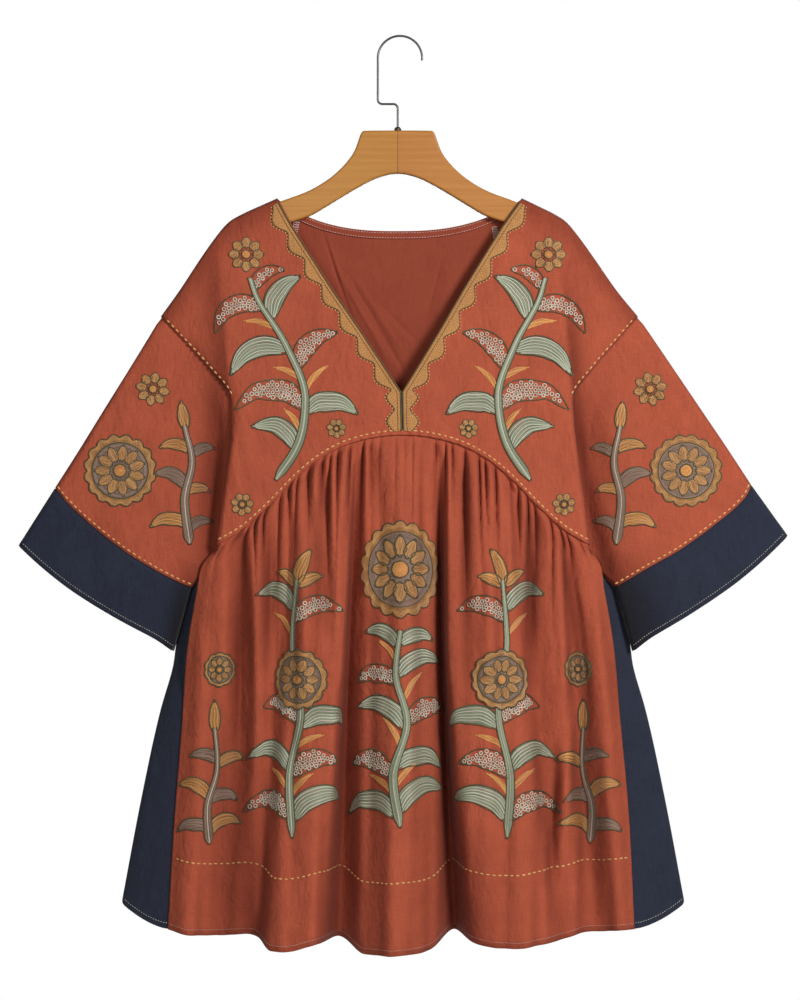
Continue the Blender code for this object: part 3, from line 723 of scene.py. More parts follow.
# %% The measures of the gathers
# How high a gather stands, by its own share of its length, and how strong gathers are by |x|
GATHER_SHAPE = np.array([
    (0, 0.55), (0.07, 0.85), (0.2, 1.0), (0.45, 0.8), (0.8, 0.38), (1.15, 0.12), (1.6, 0),
])
GATHER_HIGH, GATHER_LONG, GATHER_UNEVEN = 13.0 * MM, 0.15, 0.08
GATHER_STRENGTH, BACK_STRENGTH = [(0, 260), (24, 340), (44, 1000), (150, 1050), (185, 950), (211, 650)], 0.8
# Wave length, depth, start and drift of each ripple
RIPPLES = [(47 * MM, 1.9 * MM, 0.4, 2.2), (29 * MM, 0.9 * MM, 1.9, -3.1), (17 * MM, 0.4 * MM, 3.3, 4.3)]
# Ripples begin this far in from the side edges, and at this share down, and grow over so much more
RIPPLE_EDGE, RIPPLE_START, RIPPLE_OVER = 34 * MM, 0.05, 0.3
FRONT_GATHERS, BACK_GATHERS = 36, 30
# Gathers are calm this near to a side edge and full after so many more, counted in gathers
GATHER_CALM, GATHER_FADE = 0.3, 1.4
# The top edge: how far it lies under the yoke, where it comes free, and its tuck at the sides
UNDER_YOKE, FREE_SHARE, TUCK, TUCK_SHARE = 1.55 * LAP_STEP, 0.045, 0.014, 0.065
SEWN_GATHER, GATHER_OPEN, CREASE_OPEN = 0.15, 0.02, 0.1
SKIRT_SHARES = np.concatenate([
    [-1.0], np.linspace(0, 0.06, 9), np.linspace(0.06, 0.3, 25)[1:], np.linspace(0.3, 1, 35)[1:],
])
SKIRT_COLUMNS = {"front_skirt": 400, "back_skirt": 250}
SKIRT_CREASES = [
    # ridges and troughs of the left half, then the centre
    (-71, -467, -74, -704, 5, 5.0), (-84, -478, -83, -681, 5, -5.0), (-113, -500, -110, -749, 8, 6.0),
    (-148, -523, -148, -693, 5, -5.0), (-166, -557, -165, -738, 6, 5.0), (-181, -568, -183, -790, 5, -4.5),
    (-198, -591, -206, -780, 7, 4.0), (-152, -760, -148, -960, 6, 3.0),
    (-22, -470, -27, -650, 5, -3.2), (18, -470, 24, -610, 4, -2.8),
    # the right half
    (70, -467, 68, -659, 5, -4.5), (95, -489, 98, -738, 9, 6.0), (118, -512, 120, -681, 6, 4.5),
    (143, -523, 144, -693, 6, -6.0), (173, -557, 181, -760, 7, 6.0), (188, -580, 211, -772, 5, -5.0),
    (213, -625, 226, -772, 6, 4.0), (188, -740, 173, -975, 6, 5.0), (178, -760, 160, -960, 5, -3.0),
]
# Shade painted on the front along these lines: each is crisp on the side where the next fold laps over it
SKIRT_SHADE = [
    (-179, -529, -189, -817, 10, 3.5, 0.6), (-183, -738, -178, -1099, 28, 20, 0.62),
    (-151, -523, -152, -720, 9, 4, 0.6), (-97, -512, -83, -681, 11, 4.5, 0.45),
    (70, -460, 71, -790, 8, 8, 0.5), (142, -523, 144, -740, 10, 9, 0.7), (175, -546, 217, -840, 5, 9, 0.65),
    (211, -704, 243, -1099, 17, 6, 0.62), (43, -560, 52, -960, 13, 12, 0.4),
    (62, -880, 80, -1120, 6, 38, 0.4),
]
# Shade painted in hollows between folds and between gathers: columns to look and to blur, slack, and full
# depth
VALLEY, GATHER = (20, 8, 9 * MM, 30 * MM), (4, 1, 1.6 * MM, 8 * MM)
# How strongly painted shade darkens the deepest valleys and gathers
VALLEY_SHADE_SHARE, GATHER_SHADE_SHARE = 0.85, 0.7
print("gathers in front:", FRONT_GATHERS, "and behind:", BACK_GATHERS)

# %% How gathers and ripples stand
def gather_height(share):
    """How high a gather stands at a share of its length."""
    return np.interp(share, GATHER_SHAPE[:, 0], GATHER_SHAPE[:, 1])


def gathered(place, share, strength):
    """Ridges with narrow troughs between them, each with its own height and length; place counts them."""
    place = place + 0.24 * np.sin(1.7 * place) + 0.09 * np.sin(3.9 * place + 1.0)
    which = np.floor(place)
    long = GATHER_LONG + GATHER_UNEVEN * np.sin(2.4 * which)
    long = long + 0.5 * GATHER_UNEVEN * np.sin(5.3 * which + 0.7)
    high = 0.78 + 0.22 * np.sin(3.7 * which + 0.4)
    ridge = np.abs(np.sin(math.pi * (place - which))) ** 0.65
    level = 0.6 * gather_height(share / GATHER_LONG)
    return GATHER_HIGH * strength * (high * gather_height(share / long) * ridge - level)


def rippled(x, share, half):
    """Soft vertical ripples that wander as they go down, gone at the side edges."""
    total = sum(
        deep * np.sin(2 * math.pi * x / wave + start + drift * share + 0.6 * np.sin(2.6 * share + start))
        for wave, deep, start, drift in RIPPLES
    )
    return total * eased((half - np.abs(x)) / RIPPLE_EDGE) * eased((share - RIPPLE_START) / RIPPLE_OVER)


print("a gather's height halfway along:", round(float(gather_height(0.5)), 2))

# %% Make the skirts, with the shade painted in their hollows
def spread(grid, steps, keep):
    """Each column of a grid mixed with its neighbours, by their mean or, with keep, their highest."""
    wide = np.pad(grid, ((0, 0), (steps, steps)), mode="edge")
    near = [wide[:, i:i + grid.shape[1]] for i in range(2 * steps + 1)]
    return np.max(near, axis=0) if keep else np.mean(near, axis=0)


def hollows(depth, reach, blur, slack, full):
    """How much shade to paint: 0 on ridges, 1 where the cloth lies deep between its neighbours within reach.
    """
    return np.clip((spread(spread(depth, reach, True), blur, False) - depth - slack) / full, 0.0, 1.0)


SKIRT_PAINTED_SHADE = {}


def skirt(name, folds, gathers, seam_line, table, side):
    """A gathered skirt panel: its top edge lies under the yoke, its folds deepen to the hem."""
    count = SKIRT_COLUMNS[name]
    hem_z, seam_z = hem_line(folds, count), seam_line(fold_row(folds, 0.0, count)[0])
    rows = []
    for share in SKIRT_SHARES:
        down = max(share, 0.0)
        x, y, hangs = fold_row(folds, down, count)
        ripple = rippled(x, down, np.abs(x).max())
        place = gathers * (hangs / SIDE_X + 1) / 2
        strength = along(GATHER_STRENGTH, np.abs(hangs)) if side < 0 else BACK_STRENGTH
        strength = strength * eased((np.minimum(place, gathers - place) - GATHER_CALM) / GATHER_FADE)
        x = x * (1 - TUCK * (1 - eased(share / TUCK_SHARE)) * (np.abs(x) / SIDE_X) ** 6)
        z = seam_z + LAP if share < 0 else seam_z + (hem_z - seam_z) * share
        under = yoke_depth(x, z, table) - UNDER_YOKE
        depth = under + (y - under) * eased(share / FREE_SHARE)
        depth += gathered(place, down, strength) * eased(SEWN_GATHER + down / GATHER_OPEN) + ripple
        if side < 0:
            depth += creased(x, z, SKIRT_CREASES) * eased(down / CREASE_OPEN)
        rows.append(np.stack([x, side * depth, z], axis=1))
    rows = np.array(rows)
    depth = side * rows[:, :, 1]
    # Painted shade in the valleys between folds and between gathers, and on the front along the listed lines
    valley_shade, gather_shade = hollows(depth, *VALLEY), hollows(depth, *GATHER)
    hollow = 1 - (1 - VALLEY_SHADE_SHARE * valley_shade**1.2) * (1 - GATHER_SHADE_SHARE * gather_shade)
    if side < 0:
        hollow = 1 - (1 - hollow) * (1 - shaded(rows[:, :, 0], rows[:, :, 2], SKIRT_SHADE))
    SKIRT_PAINTED_SHADE[name] = hollow
    panel(name, rows, TERRACOTTA, flat=False, inside=DARKER_INSIDE, hollow=hollow)


skirt("front_skirt", FRONT_FOLDS, FRONT_GATHERS, front_seam, FRONT_DEPTH, -1)
skirt("back_skirt", BACK_FOLDS, BACK_GATHERS, back_seam, BACK_DEPTH, 1)

# %% [markdown]
# ## Side panels, sleeves and bands
#
# The dark side panels run from under the arm to the hem, let in under both skirts. A sleeve is a
# flat tube. It could be a cylinder pressed flat, but its two folds need exact rounds of their own,
# so its section is drawn as a closed ring, in along the front wall and out along the back. The band
# at its end slips under it by a lap.

# %% Side panels
SIDE_EDGE = [
    (-981, 318), (-862, 295.5), (-760, 273.5), (-709, 259.5), (-693, 257.5), (-660, 252), (-640, 247),
    (-621, 240.5), (-614, 235), (-608, 229), (-600, 220),
]
SIDE_SHARES = np.concatenate([
    np.linspace(0.065, 0.3, 28), np.linspace(0.3, 0.985, 38)[1:], [0.99, 0.994, 0.997, 1.0],
])
SIDE_ACROSS, SIDE_RISE, SIDE_CORNER, SIDE_TALL, SIDE_BEHIND = 37, 24 * MM, 7 * MM, 430 * MM, 8 * MM
EDGE_STEPS = 240
SIDE_CREASES = [
    (254, -640, 262, -960, 7, 1.6), (268, -700, 284, -985, 6, -1.5), (286, -800, 300, -985, 6, 1.2),
]


def skirt_edge(folds, share, hand, side):
    """Two points under a skirt panel's side edge, one a lap in and one at the edge itself."""
    x, depth, _ = fold_row(folds, share, EDGE_STEPS)
    line = np.stack([hand * x, depth], axis=1)[::-hand]
    length = lengths(line)
    inner = np.array([np.interp(LAP, length, line[:, 0]), np.interp(LAP, length, line[:, 1])])
    edge = line[0]
    way = (inner - edge) / np.linalg.norm(inner - edge)
    under = 1.3 * LAP_STEP * np.array([-way[1], way[0]])
    z = SIDE_Z + (hem_line(folds, 2)[-1] - SIDE_Z) * share
    return [(px, side * py, z) for px, py in (inner + under, edge + under)]


def side_panel(name, hand):
    """The plain panel let in at the side, its edges lapped under the front and back skirts."""
    rows = []
    across = np.linspace(0, 1, SIDE_ACROSS)
    middle = np.sin(math.pi * across)
    for share in SIDE_SHARES:
        front_lap, front = skirt_edge(FRONT_FOLDS, share, hand, -1)
        back_lap, back = skirt_edge(BACK_FOLDS, share, hand, 1)
        edge_x, edge_y, edge_z = (a + (b - a) * across for a, b in zip(front, back))
        rise = SIDE_RISE * share**3
        out_x = float(along(SIDE_EDGE, front[2] + rise))
        out_x -= 0.6 * SIDE_CORNER * float(1 - rounded((1 - share) * SIDE_TALL, SIDE_CORNER))
        bulge = middle ** (1.8 - float(eased((share - 0.2) / 0.25)))
        x = edge_x + (out_x - edge_x) * bulge
        z = edge_z + rise * bulge**1.6
        depth = edge_y + SIDE_BEHIND * float(1 - eased((share - 0.25) / 0.3)) * middle
        depth += np.cos(math.pi * across) * -creased(x, z, SIDE_CREASES) * middle
        rows.append(np.concatenate([[front_lap], np.stack([x, depth, z], axis=1), [back_lap]]))
    rows = np.array(rows)
    rows[:, :, 0] *= hand
    panel(name, rows, NAVY, flat=False)


for hand, word in WORDS.items():
    side_panel("side_panel_" + word, hand)

# %% The measures of the sleeves and bands
BAND_OUT, BAND_IN = np.array([392, -507]) * MM, np.array([238.5, -621]) * MM
CUFF_OUT, CUFF_IN = np.array([433, -568]) * MM, np.array([258.5, -693]) * MM
SLEEVE_TOP, UNDERARM = (ARM_X - 3.6 * MM, ARM_Z + 5 * MM), np.array([208, -592]) * MM
SLEEVE_EDGE, SLEEVE_FORWARD = 6.0 * MM, 7.0 * MM
BAND_TILT, CUFF_TILT, BAND_BOW, CUFF_BOW = 1.7 * MM, 5.5 * MM, 9.5 * MM, 14.5 * MM
# A sleeve's depth at the armhole and a band's at its seam, and how much is added, in millimetres
SLEEVE_DEEP, SLEEVE_DEEPER, CUFF_DEEP, CUFF_DEEPER = 7.0, 6.0, 13, 3
WIDEN_START, WIDEN_OVER = 0.22, 0.53
# The armhole's share of a sleeve's inner end; the rest runs on under the arm
ARMHOLE_SHARE = 0.9
RING_HALF = 64
SLEEVE_SHARES = np.concatenate([[0, 0.035, 0.07], np.linspace(0.1, 1, 46)])
CUFF_SHARES = np.concatenate([[-0.08, 0.0, 0.01], np.linspace(0.03, 1, 16)])
# x counts outwards in the tables of the sleeves
SLEEVE_CREASES = [
    (262, -338, 330, -470, 11, 1.7), (246, -350, 300, -480, 9, -1.6), (300, -360, 372, -478, 10, 1.3),
    (206, -470, 236, -590, 8, 1.8), (216, -450, 256, -580, 9, -1.8), (222, -420, 262, -500, 7, 1.4),
    (270, -560, 318, -500, 12, -1.2), (300, -590, 336, -520, 11, 1.1), (340, -545, 362, -470, 10, -1.2),
]
CUFF_CREASES = [
    (372, -545, 396, -600, 9, 1.5), (338, -570, 362, -622, 8, -1.5), (300, -592, 322, -655, 9, 1.4),
    (262, -622, 284, -684, 8, -1.4),
]
# How far a band's seam and its edge bulge beyond a straight line, by the share from the outer fold
SEAM_BULGE = {
    1:  [(0, 0), (0.06, 6.0), (0.25, 8.6), (0.5, 7.2), (0.75, 2.3), (1, 0)],
    -1: [(0, 0), (0.1, 4.2), (0.3, 7.4), (0.5, 8.0), (0.7, 6.0), (0.9, 2.6), (1, 0)],
}
EDGE_BULGE = [(0, 0), (0.12, 2.4), (0.28, 3.5), (0.45, 2.0), (0.6, 0), (0.85, -2.6), (1, 0)]
# Both walls of a sleeve go back a little where the body's side fold stands in front of them
BEHIND_BODY = [(202, -372, 214, -640, 19, 11.0)]
# Shade painted on sleeves and bands beside the body; the light comes from the right
BODY_SHADE = {
    1:  [(184, -350, 214, -560, 7, 11, 0.82), (206, -500, 250, -680, 6, 13, 0.7),
         (196, -330, 236, -680, 20, 30, 0.3), (234, -580, 272, -760, 20, 42, 0.8)],
    -1: [(200.5, -320, 224, -640, 11, 16, 0.62), (200, -330, 222, -650, 20, 26, 0.25),
         (234, -590, 266, -740, 14, 17, 0.88)],
}
print("band's seam, mm:", round(math.dist(BAND_OUT, BAND_IN) / MM), "long")

# %% Rings and the lines across a sleeve
def sleeve_ring(outer, inner, line, deep, forward):
    """One closed loop round a sleeve. Its inner fold stands forward of the middle plane."""
    across = 0.5 - 0.5 * np.cos(np.linspace(0, math.pi, RING_HALF))
    middle = np.array([line(s, outer, inner) for s in across])
    wide = math.dist(outer, inner)
    inside = (1 - across) * wide
    open_up = rounded(across * wide, SLEEVE_EDGE)
    move = forward * (1 - eased(inside / (3 * SLEEVE_EDGE)))
    front = -open_up * np.maximum(deep * rounded(inside, SLEEVE_EDGE), move)
    back = open_up * deep * rounded(inside, SLEEVE_EDGE + 3.0 * forward) - move
    there, again = (np.stack([middle[:, 0], y, middle[:, 1]], axis=1) for y in (front, back))
    return np.concatenate([there, again[-2:0:-1]])


def armhole_line(share, outer, inner):
    """A point of the sleeve's inner end, which lies a lap inside the yoke's edge."""
    z = outer[1] + (SIDE_Z + 4 * MM - outer[1]) * min(share / ARMHOLE_SHARE, 1.0)
    x = along(ARMHOLE, z) - LAP - 4 * MM * eased((-520 * MM - z) / (50 * MM))
    if share <= ARMHOLE_SHARE:
        start = outer[0] - (along(ARMHOLE, outer[1]) - LAP)
        return x + start * (1 - share / ARMHOLE_SHARE) ** 8, z
    t = (share - ARMHOLE_SHARE) / 0.1
    return x + (inner[0] - x) * t, z + (inner[1] - z) * t


def bowed_line(hand, down):
    """A curved line across the sleeve's end, from the band's seam at down = 0 to its edge at 1."""
    bow = BAND_BOW + (CUFF_BOW - BAND_BOW) * down

    def line(share, outer, inner):
        sag = bow * 4 * share * (1 - share)
        way = np.array(inner) - outer
        off = along(SEAM_BULGE[hand], share * MM) * (1 - down) + along(EDGE_BULGE, share * MM) * down
        off = off / np.linalg.norm(way)
        x, z = outer[0] + way[0] * share, outer[1] + way[1] * share
        return x - 0.55 * sag - off * way[1], z - 0.83 * sag + off * way[0]

    return line


def band_ends(hand, share):
    """The band's outer and inner fold at a share from its seam to its edge."""
    outer, cuff_out = BAND_OUT + (0, hand * BAND_TILT), CUFF_OUT + (0, hand * CUFF_TILT)
    return outer + (cuff_out - outer) * share, BAND_IN + (CUFF_IN - BAND_IN) * share


def inset(point, towards, amount):
    """A point moved by an amount towards another."""
    point, towards = np.array(point), np.array(towards)
    return point + (towards - point) * amount / np.linalg.norm(towards - point)


def crease_ring(ring, table, amount):
    """Adds creases to both walls of a ring, the other way round on the back, and none at the folds."""
    open_part = np.concatenate([np.linspace(0, 1, RING_HALF), np.linspace(1, 0, RING_HALF)[1:-1]])
    way = np.where(np.arange(len(ring)) < RING_HALF, -1.0, 1.0)
    ring[:, 1] += way * np.sin(math.pi * open_part) ** 0.6 * amount * creased(ring[:, 0], ring[:, 2], table)
    return ring


print("a ring has", 2 * RING_HALF - 2, "points")

# %% Make the sleeves and bands
def sleeve_rings(hand):
    """The dropped sleeve, a flat bell from the armhole to the band."""
    band_out, band_in = band_ends(hand, 0.0)
    for share in SLEEVE_SHARES:
        widened = float(eased((share - WIDEN_START) / WIDEN_OVER))
        deep, forward = (SLEEVE_DEEP + SLEEVE_DEEPER * widened) * MM, SLEEVE_FORWARD * widened
        top = inset(SLEEVE_TOP, UNDERARM, 1.5 * MM * float(1 - eased((share - 0.035) / 0.035)))
        first = sleeve_ring(top, UNDERARM, armhole_line, deep, forward)
        last = sleeve_ring(band_out, band_in, bowed_line(hand, 0.0), deep, forward)
        ring = first + (last - first) * share
        ring[:, 1] = last[:, 1]
        calm = float(eased((share - 0.07) / 0.1) * eased((1 - share) / 0.08))
        ring[:, 1] += calm * creased(ring[:, 0], ring[:, 2], BEHIND_BODY)
        yield crease_ring(ring, SLEEVE_CREASES, calm)


def cuff_rings(hand):
    """The band at the sleeve's end, let in under it by a lap."""
    for share in CUFF_SHARES:
        outer, inner = band_ends(hand, share)
        under = LAP_STEP * (1.15 if share < 0.02 else 0.0)
        outer, inner = inset(outer, inner, under), inset(inner, outer, 0.45 * under)
        depth = (CUFF_DEEP + CUFF_DEEPER * share) * MM - under
        ring = sleeve_ring(outer, inner, bowed_line(hand, share), depth, SLEEVE_FORWARD)
        ring[:, 2] -= 3 * MM * max(share, 0.0) ** 2 * np.clip(ring[:, 1] / depth, 0, 1)
        yield crease_ring(ring, CUFF_CREASES, float(eased((share - 0.1) / 0.3)))


for hand, word in WORDS.items():
    for kind, rule, colour, inside in (
        ("sleeve_", sleeve_rings, TERRACOTTA, DARKER_INSIDE), ("cuff_", cuff_rings, NAVY, None),
    ):
        rings = np.array(list(rule(hand)))
        # Shade painted beside the body on the sleeve or band
        hollow = shaded(rings[:, :, 0], rings[:, :, 2], BODY_SHADE[hand])
        rings[:, :, 0] *= hand
        panel(kind + word, rings, colour, ring=True, inside=inside, hollow=hollow)

# %% [markdown]
# ## The hanger
#
# The plate is sawn from one board, rounded over and varnished; a thin line marks the middle. It
# could be a mesh with a Bevel modifier, but a filled curve with a bevel is nearer to how it is made:
# an outline with an even round all along its edge. The wire hook is a round tube that follows a
# bent line, so it is a curve too.

# %% Wood and wire finishes
HANGER_X = -2.5 * MM
JOINT_HALF = 0.35 * MM
wood, tree, shader = material(
    "varnished beech", {"Coat Weight": 0.2, "Coat Roughness": 0.25, "Specular IOR Level": 0.3},
)
parts = node(tree, "ShaderNodeSeparateXYZ", {"Vector": spot(tree)}).node.outputs
off_middle = maths(tree, "ABSOLUTE", maths(tree, "SUBTRACT", parts["X"], HANGER_X), 0.0)
folded = node(tree, "ShaderNodeCombineXYZ", {"X": off_middle, "Y": parts["Y"], "Z": parts["Z"]})
grain = noise(tree, stretched(tree, folded, (9.0, 150.0, 190.0), (0.0, -0.45, 0.0)), 1.0, 5.0, 0.6, 0.4)
board = ramp(tree, grain, 0.3, (0.5, 0.205, 0.036), 0.7, (0.6, 0.268, 0.05))
halves = tinted(tree, board, maths(tree, "GREATER_THAN", parts["X"], HANGER_X), (1.0, 0.93, 1.1))
joint = maths(tree, "LESS_THAN", off_middle, JOINT_HALF)
fill(shader, {
    "Base Color": tinted(tree, halves, joint, (0.2, 0.075, 0.02), "MIX"),
    "Roughness": span(tree, grain, 0.32, 0.5),
    "Normal": bump(tree, grain, 0.25, 0.15 * MM),
})


def metal(name, colour, rough):
    """Metal with fine wear in its gloss."""
    made, tree, shader = material(name, {"Base Color": (*colour, 1.0), "Metallic": 1.0})
    wear = noise(tree, spot(tree), 260.0, 3.0)
    fill(shader, {"Roughness": span(tree, wear, rough - ROUGH_LOW, rough + ROUGH_HIGH)})
    return made


STEEL = metal("dark steel", (0.17, 0.165, 0.155), 0.34)
COLLAR_METAL = metal("dull brass", (0.25, 0.19, 0.12), 0.42)
print("finishes:", wood.name, STEEL.name, COLLAR_METAL.name)

# %% The measures of the hanger
HANGER_THICK, HANGER_BEVEL, PLATE_TOP = 11.0 * MM, 2.2 * MM, -106.0 * MM
WIRE_RADIUS, HOOK_RADIUS, HOOK_SHANK, HOOK_OFFSET = 1.4 * MM, 25 * MM, 67 * MM, 25 * MM
BEND_RADIUS, HOOK_STEP = 5 * MM, 15 * MM
# Half of the plate's outline: its upper edge, shoulder, end and lower edge
HALF_PLATE = [
    (36, -106), (41, -107), (45, -119), (49, -130), (56, -140), (65, -150), (79, -162), (101, -175),
    (127, -184), (138, -188.5), (165, -200), (184, -210),
    (191, -215.5), (194, -221), (191, -227), (184, -229),
    (150, -218), (122, -210), (98, -202), (80, -191), (62, -180), (42, -168), (22, -158), (0, -153),
]
# Radius and height round the collar's section
COLLAR = [(1.5, -1.9), (3.4, -1.9), (4.1, -1.2), (4.1, -0.2), (3.5, 0.2), (3.3, 1.0), (2.6, 1.8), (1.5, 1.9)]
COLLAR_SIDES, COLLAR_UP = 32, 2.3
print("half of the plate's outline has", len(HALF_PLATE), "places")

# %% Make the plate
def curve_piece(curve_name, points, closed, turn, name, cad_node, slot, colour, **settings):
    """A plain mesh piece from a line through points with a bevel; a closed line is filled."""
    curve = bpy.data.curves.new(curve_name, "CURVE")
    curve.dimensions = "2D" if closed else "3D"
    spline = curve.splines.new("POLY")
    spline.points.add(len(points) - 1)
    for point, place in zip(spline.points, points):
        point.co = (*place, 1.0)
    spline.use_cyclic_u = closed
    for key, value in settings.items():
        setattr(curve, key, value)
    guide = add_object(curve_name, curve)
    guide.rotation_euler = (turn, 0, 0)
    bpy.context.view_layer.update()
    mesh = bpy.data.meshes.new_from_object(guide.evaluated_get(bpy.context.evaluated_depsgraph_get()))
    mesh.transform(guide.matrix_world)
    bpy.data.objects.remove(guide)
    mesh.materials.clear()
    mesh.materials.append(colour)
    mesh.shade_smooth()
    declare(add_object(name, mesh), slot, cad_node)
    print(name, "has", len(mesh.polygons), "faces")


outline = np.array(HALF_PLATE + [(-x, z) for x, z in HALF_PLATE[-2::-1]], float)
for _ in range(2):
    following = np.roll(outline, -1, axis=0)
    corners = [0.75 * outline + 0.25 * following, 0.25 * outline + 0.75 * following]
    outline = np.stack(corners, axis=1).reshape(-1, 2)
curve_piece(
    "plate", [(x * MM + HANGER_X, z * MM, 0.0) for x, z in outline], True, math.pi / 2,
    "wooden_hanger", "hanger", "beech", wood, fill_mode="BOTH", extrude=HANGER_THICK / 2 - HANGER_BEVEL,
    bevel_depth=HANGER_BEVEL, bevel_resolution=3, offset=-HANGER_BEVEL,
)

# %% Make the hook and its collar
def arc(x, z, radius, start, end, steps):
    """Points on an arc in the plane of the hook, angles in degrees from +X towards +Z."""
    angles = np.radians(np.linspace(start, end, steps))
    return [(x + radius * math.cos(a), 0.0, z + radius * math.sin(a)) for a in angles]


top = WIRE_RADIUS - HOOK_RADIUS
step_z = top - HOOK_SHANK + HOOK_STEP
bends = [(HANGER_X, 0.0, PLATE_TOP + 4.6 * MM)]
bends += arc(HANGER_X - BEND_RADIUS, step_z - BEND_RADIUS, BEND_RADIUS, 0, 90, 9)
bends += arc(-HOOK_OFFSET + BEND_RADIUS, step_z + BEND_RADIUS, BEND_RADIUS, 270, 180, 9)
bends += arc(0.0, top, HOOK_RADIUS, 180, -6, 48)
curve_piece(
    "wire", bends, False, 0.0, "wire_hook", "hook", "steel", STEEL,
    bevel_depth=0.9 * WIRE_RADIUS, bevel_resolution=4, use_fill_caps=True,
)

collar_mesh = bpy.data.meshes.new("collar")
collar_points = [
    point for radius, height in COLLAR
    for point in circle(radius * MM, PLATE_TOP + (COLLAR_UP + height) * MM, COLLAR_SIDES, HANGER_X)
]
collar_mesh.from_pydata(collar_points, [], grid_faces(len(COLLAR), COLLAR_SIDES, True, True).tolist())
collar_mesh.shade_smooth()
collar_mesh.materials.append(COLLAR_METAL)
declare(add_object("collar", collar_mesh), "dark_brass", "hook_collar")
print("collar has", len(collar_mesh.polygons), "faces")

# %% [markdown]
# ## Laying thread on cloth
#
# All the sewing starts as lines that lie on the cloth. A Shrinkwrap modifier could press them on,
# but it also draws them sideways at a fold. Instead, a ray from in front of the dress finds the
# place and the way out of the cloth there. On the front skirt a line follows the cloth's own grid,
# so a motif bends with the folds as stitches do.

# %% Where a place on the dress is
FRONT_Y, INSIDE_Y, BACK_Y = -0.3, 0.0, 0.3
graph = bpy.context.evaluated_depsgraph_get()
walls = {name: BVHTree.FromObject(piece, graph) for name, piece in pieces.items()}


def on_wall(name, x, z, lift, start=FRONT_Y):
    """Points lifted off the first wall met from in front, from inside, or from behind."""
    way = Vector((0, -1 if start == BACK_Y else 1, 0))
    x, z = np.broadcast_arrays(np.atleast_1d(x), np.atleast_1d(z))
    x = x + along(LEAN, z)
    found = []
    for px, pz in zip(x, z):
        hit, normal, _, _ = walls[name].ray_cast(Vector((px, start, pz)), way)
        if hit is None:
            continue
        if normal.dot(way) > 0:
            normal = -normal
        found.append(hit + normal * lift)
    return np.array(found)


def skirt_grid(name):
    """The skirt's points and its ways out, as grids, for lines that follow the cloth."""
    mesh = pieces[name].data
    flat = np.empty(len(mesh.vertices) * 3)
    mesh.vertices.foreach_get("co", flat)
    points = flat.reshape(len(SKIRT_SHARES), SKIRT_COLUMNS[name] + 1, 3)
    out = np.cross(np.gradient(points, axis=0), np.gradient(points, axis=1))
    out /= np.linalg.norm(out, axis=2, keepdims=True)
    out *= np.sign(out[:, :, 1:2]) * (-1 if name == "front_skirt" else 1)
    return points, out


SKIRTS = {name: skirt_grid(name) for name in SKIRT_COLUMNS}


def on_skirt(name, u, share, lift):
    """Points on a skirt at a share u across and a share down, lifted off its face, and the shade painted
    there.
    """
    points, out = SKIRTS[name]
    tall, wide = points.shape[:2]
    row = np.interp(share, SKIRT_SHARES[1:], np.arange(1, tall))
    column, row = np.broadcast_arrays(np.clip(u, 0, 1) * (wide - 1), row)
    i, j = np.minimum(row.astype(int), tall - 2), np.minimum(column.astype(int), wide - 2)
    s, t = (row - i)[..., None], (column - j)[..., None]

    def blend(grid):
        above = (1 - t) * grid[i, j] + t * grid[i, j + 1]
        below = (1 - t) * grid[i + 1, j] + t * grid[i + 1, j + 1]
        return (1 - s) * above + s * below

    hollow = blend(SKIRT_PAINTED_SHADE[name][:, :, None])
    return np.concatenate([blend(points) + blend(out) * (CLOTH / 2 + lift), hollow], axis=-1)


print("a point of the front skirt:", np.round(on_skirt("front_skirt", 0.5, 0.5, 0.0), 4))

# %% [markdown]
# ## Two small machines for sewing
#
# Stitches repeat one small shape, and threads follow a path. Python could place every point of
# them, but that is work for Geometry Nodes, whose inputs are like the settings of a sewing machine.
# One tree runs along a line and drops a stitch at even steps: the running stitches, the topstitching
# and the row of dots are all this, with other sizes. The other turns lines into thread by sweeping a
# small circle along them.

# %% The stitch tree and the thread tree
SHORTEST, LONGEST = 0.86, 1.1
RINGS_SHARE = 1.6


def sewing_tree(name, inputs):
    """A geometry tree that starts with lines; returns it, what goes in, its end and the curve."""
    inputs = {"Geometry": "Geometry", **inputs, "Thread": "Material"}
    tree, given, end = group(name, "GeometryNodeTree", inputs, {"Geometry": "Geometry"})
    return tree, given, end, node(tree, "GeometryNodeMeshToCurve", {"Mesh": given["Geometry"]})


def finish_tree(tree, given, end, made):
    """Ends a tree as the export needs: real geometry, smooth, with its material."""
    soft = node(tree, "GeometryNodeSetShadeSmooth", {"Geometry": made})
    real = node(tree, "GeometryNodeRealizeInstances", {"Geometry": soft})
    dyed = node(tree, "GeometryNodeSetMaterial", {"Geometry": real, "Material": given["Thread"]})
    fill(end, {"Geometry": dyed})


thread_tree, given, end, line = sewing_tree("thread", {"Radius": "Float", "Sides": "Int"})
profile = {"Radius": given["Radius"], "Resolution": given["Sides"]}
profile = node(thread_tree, "GeometryNodeCurvePrimitiveCircle", profile)
sweep = {"Fill Caps": True, "Curve": line, "Profile Curve": profile}
finish_tree(thread_tree, given, end, node(thread_tree, "GeometryNodeCurveToMesh", sweep))

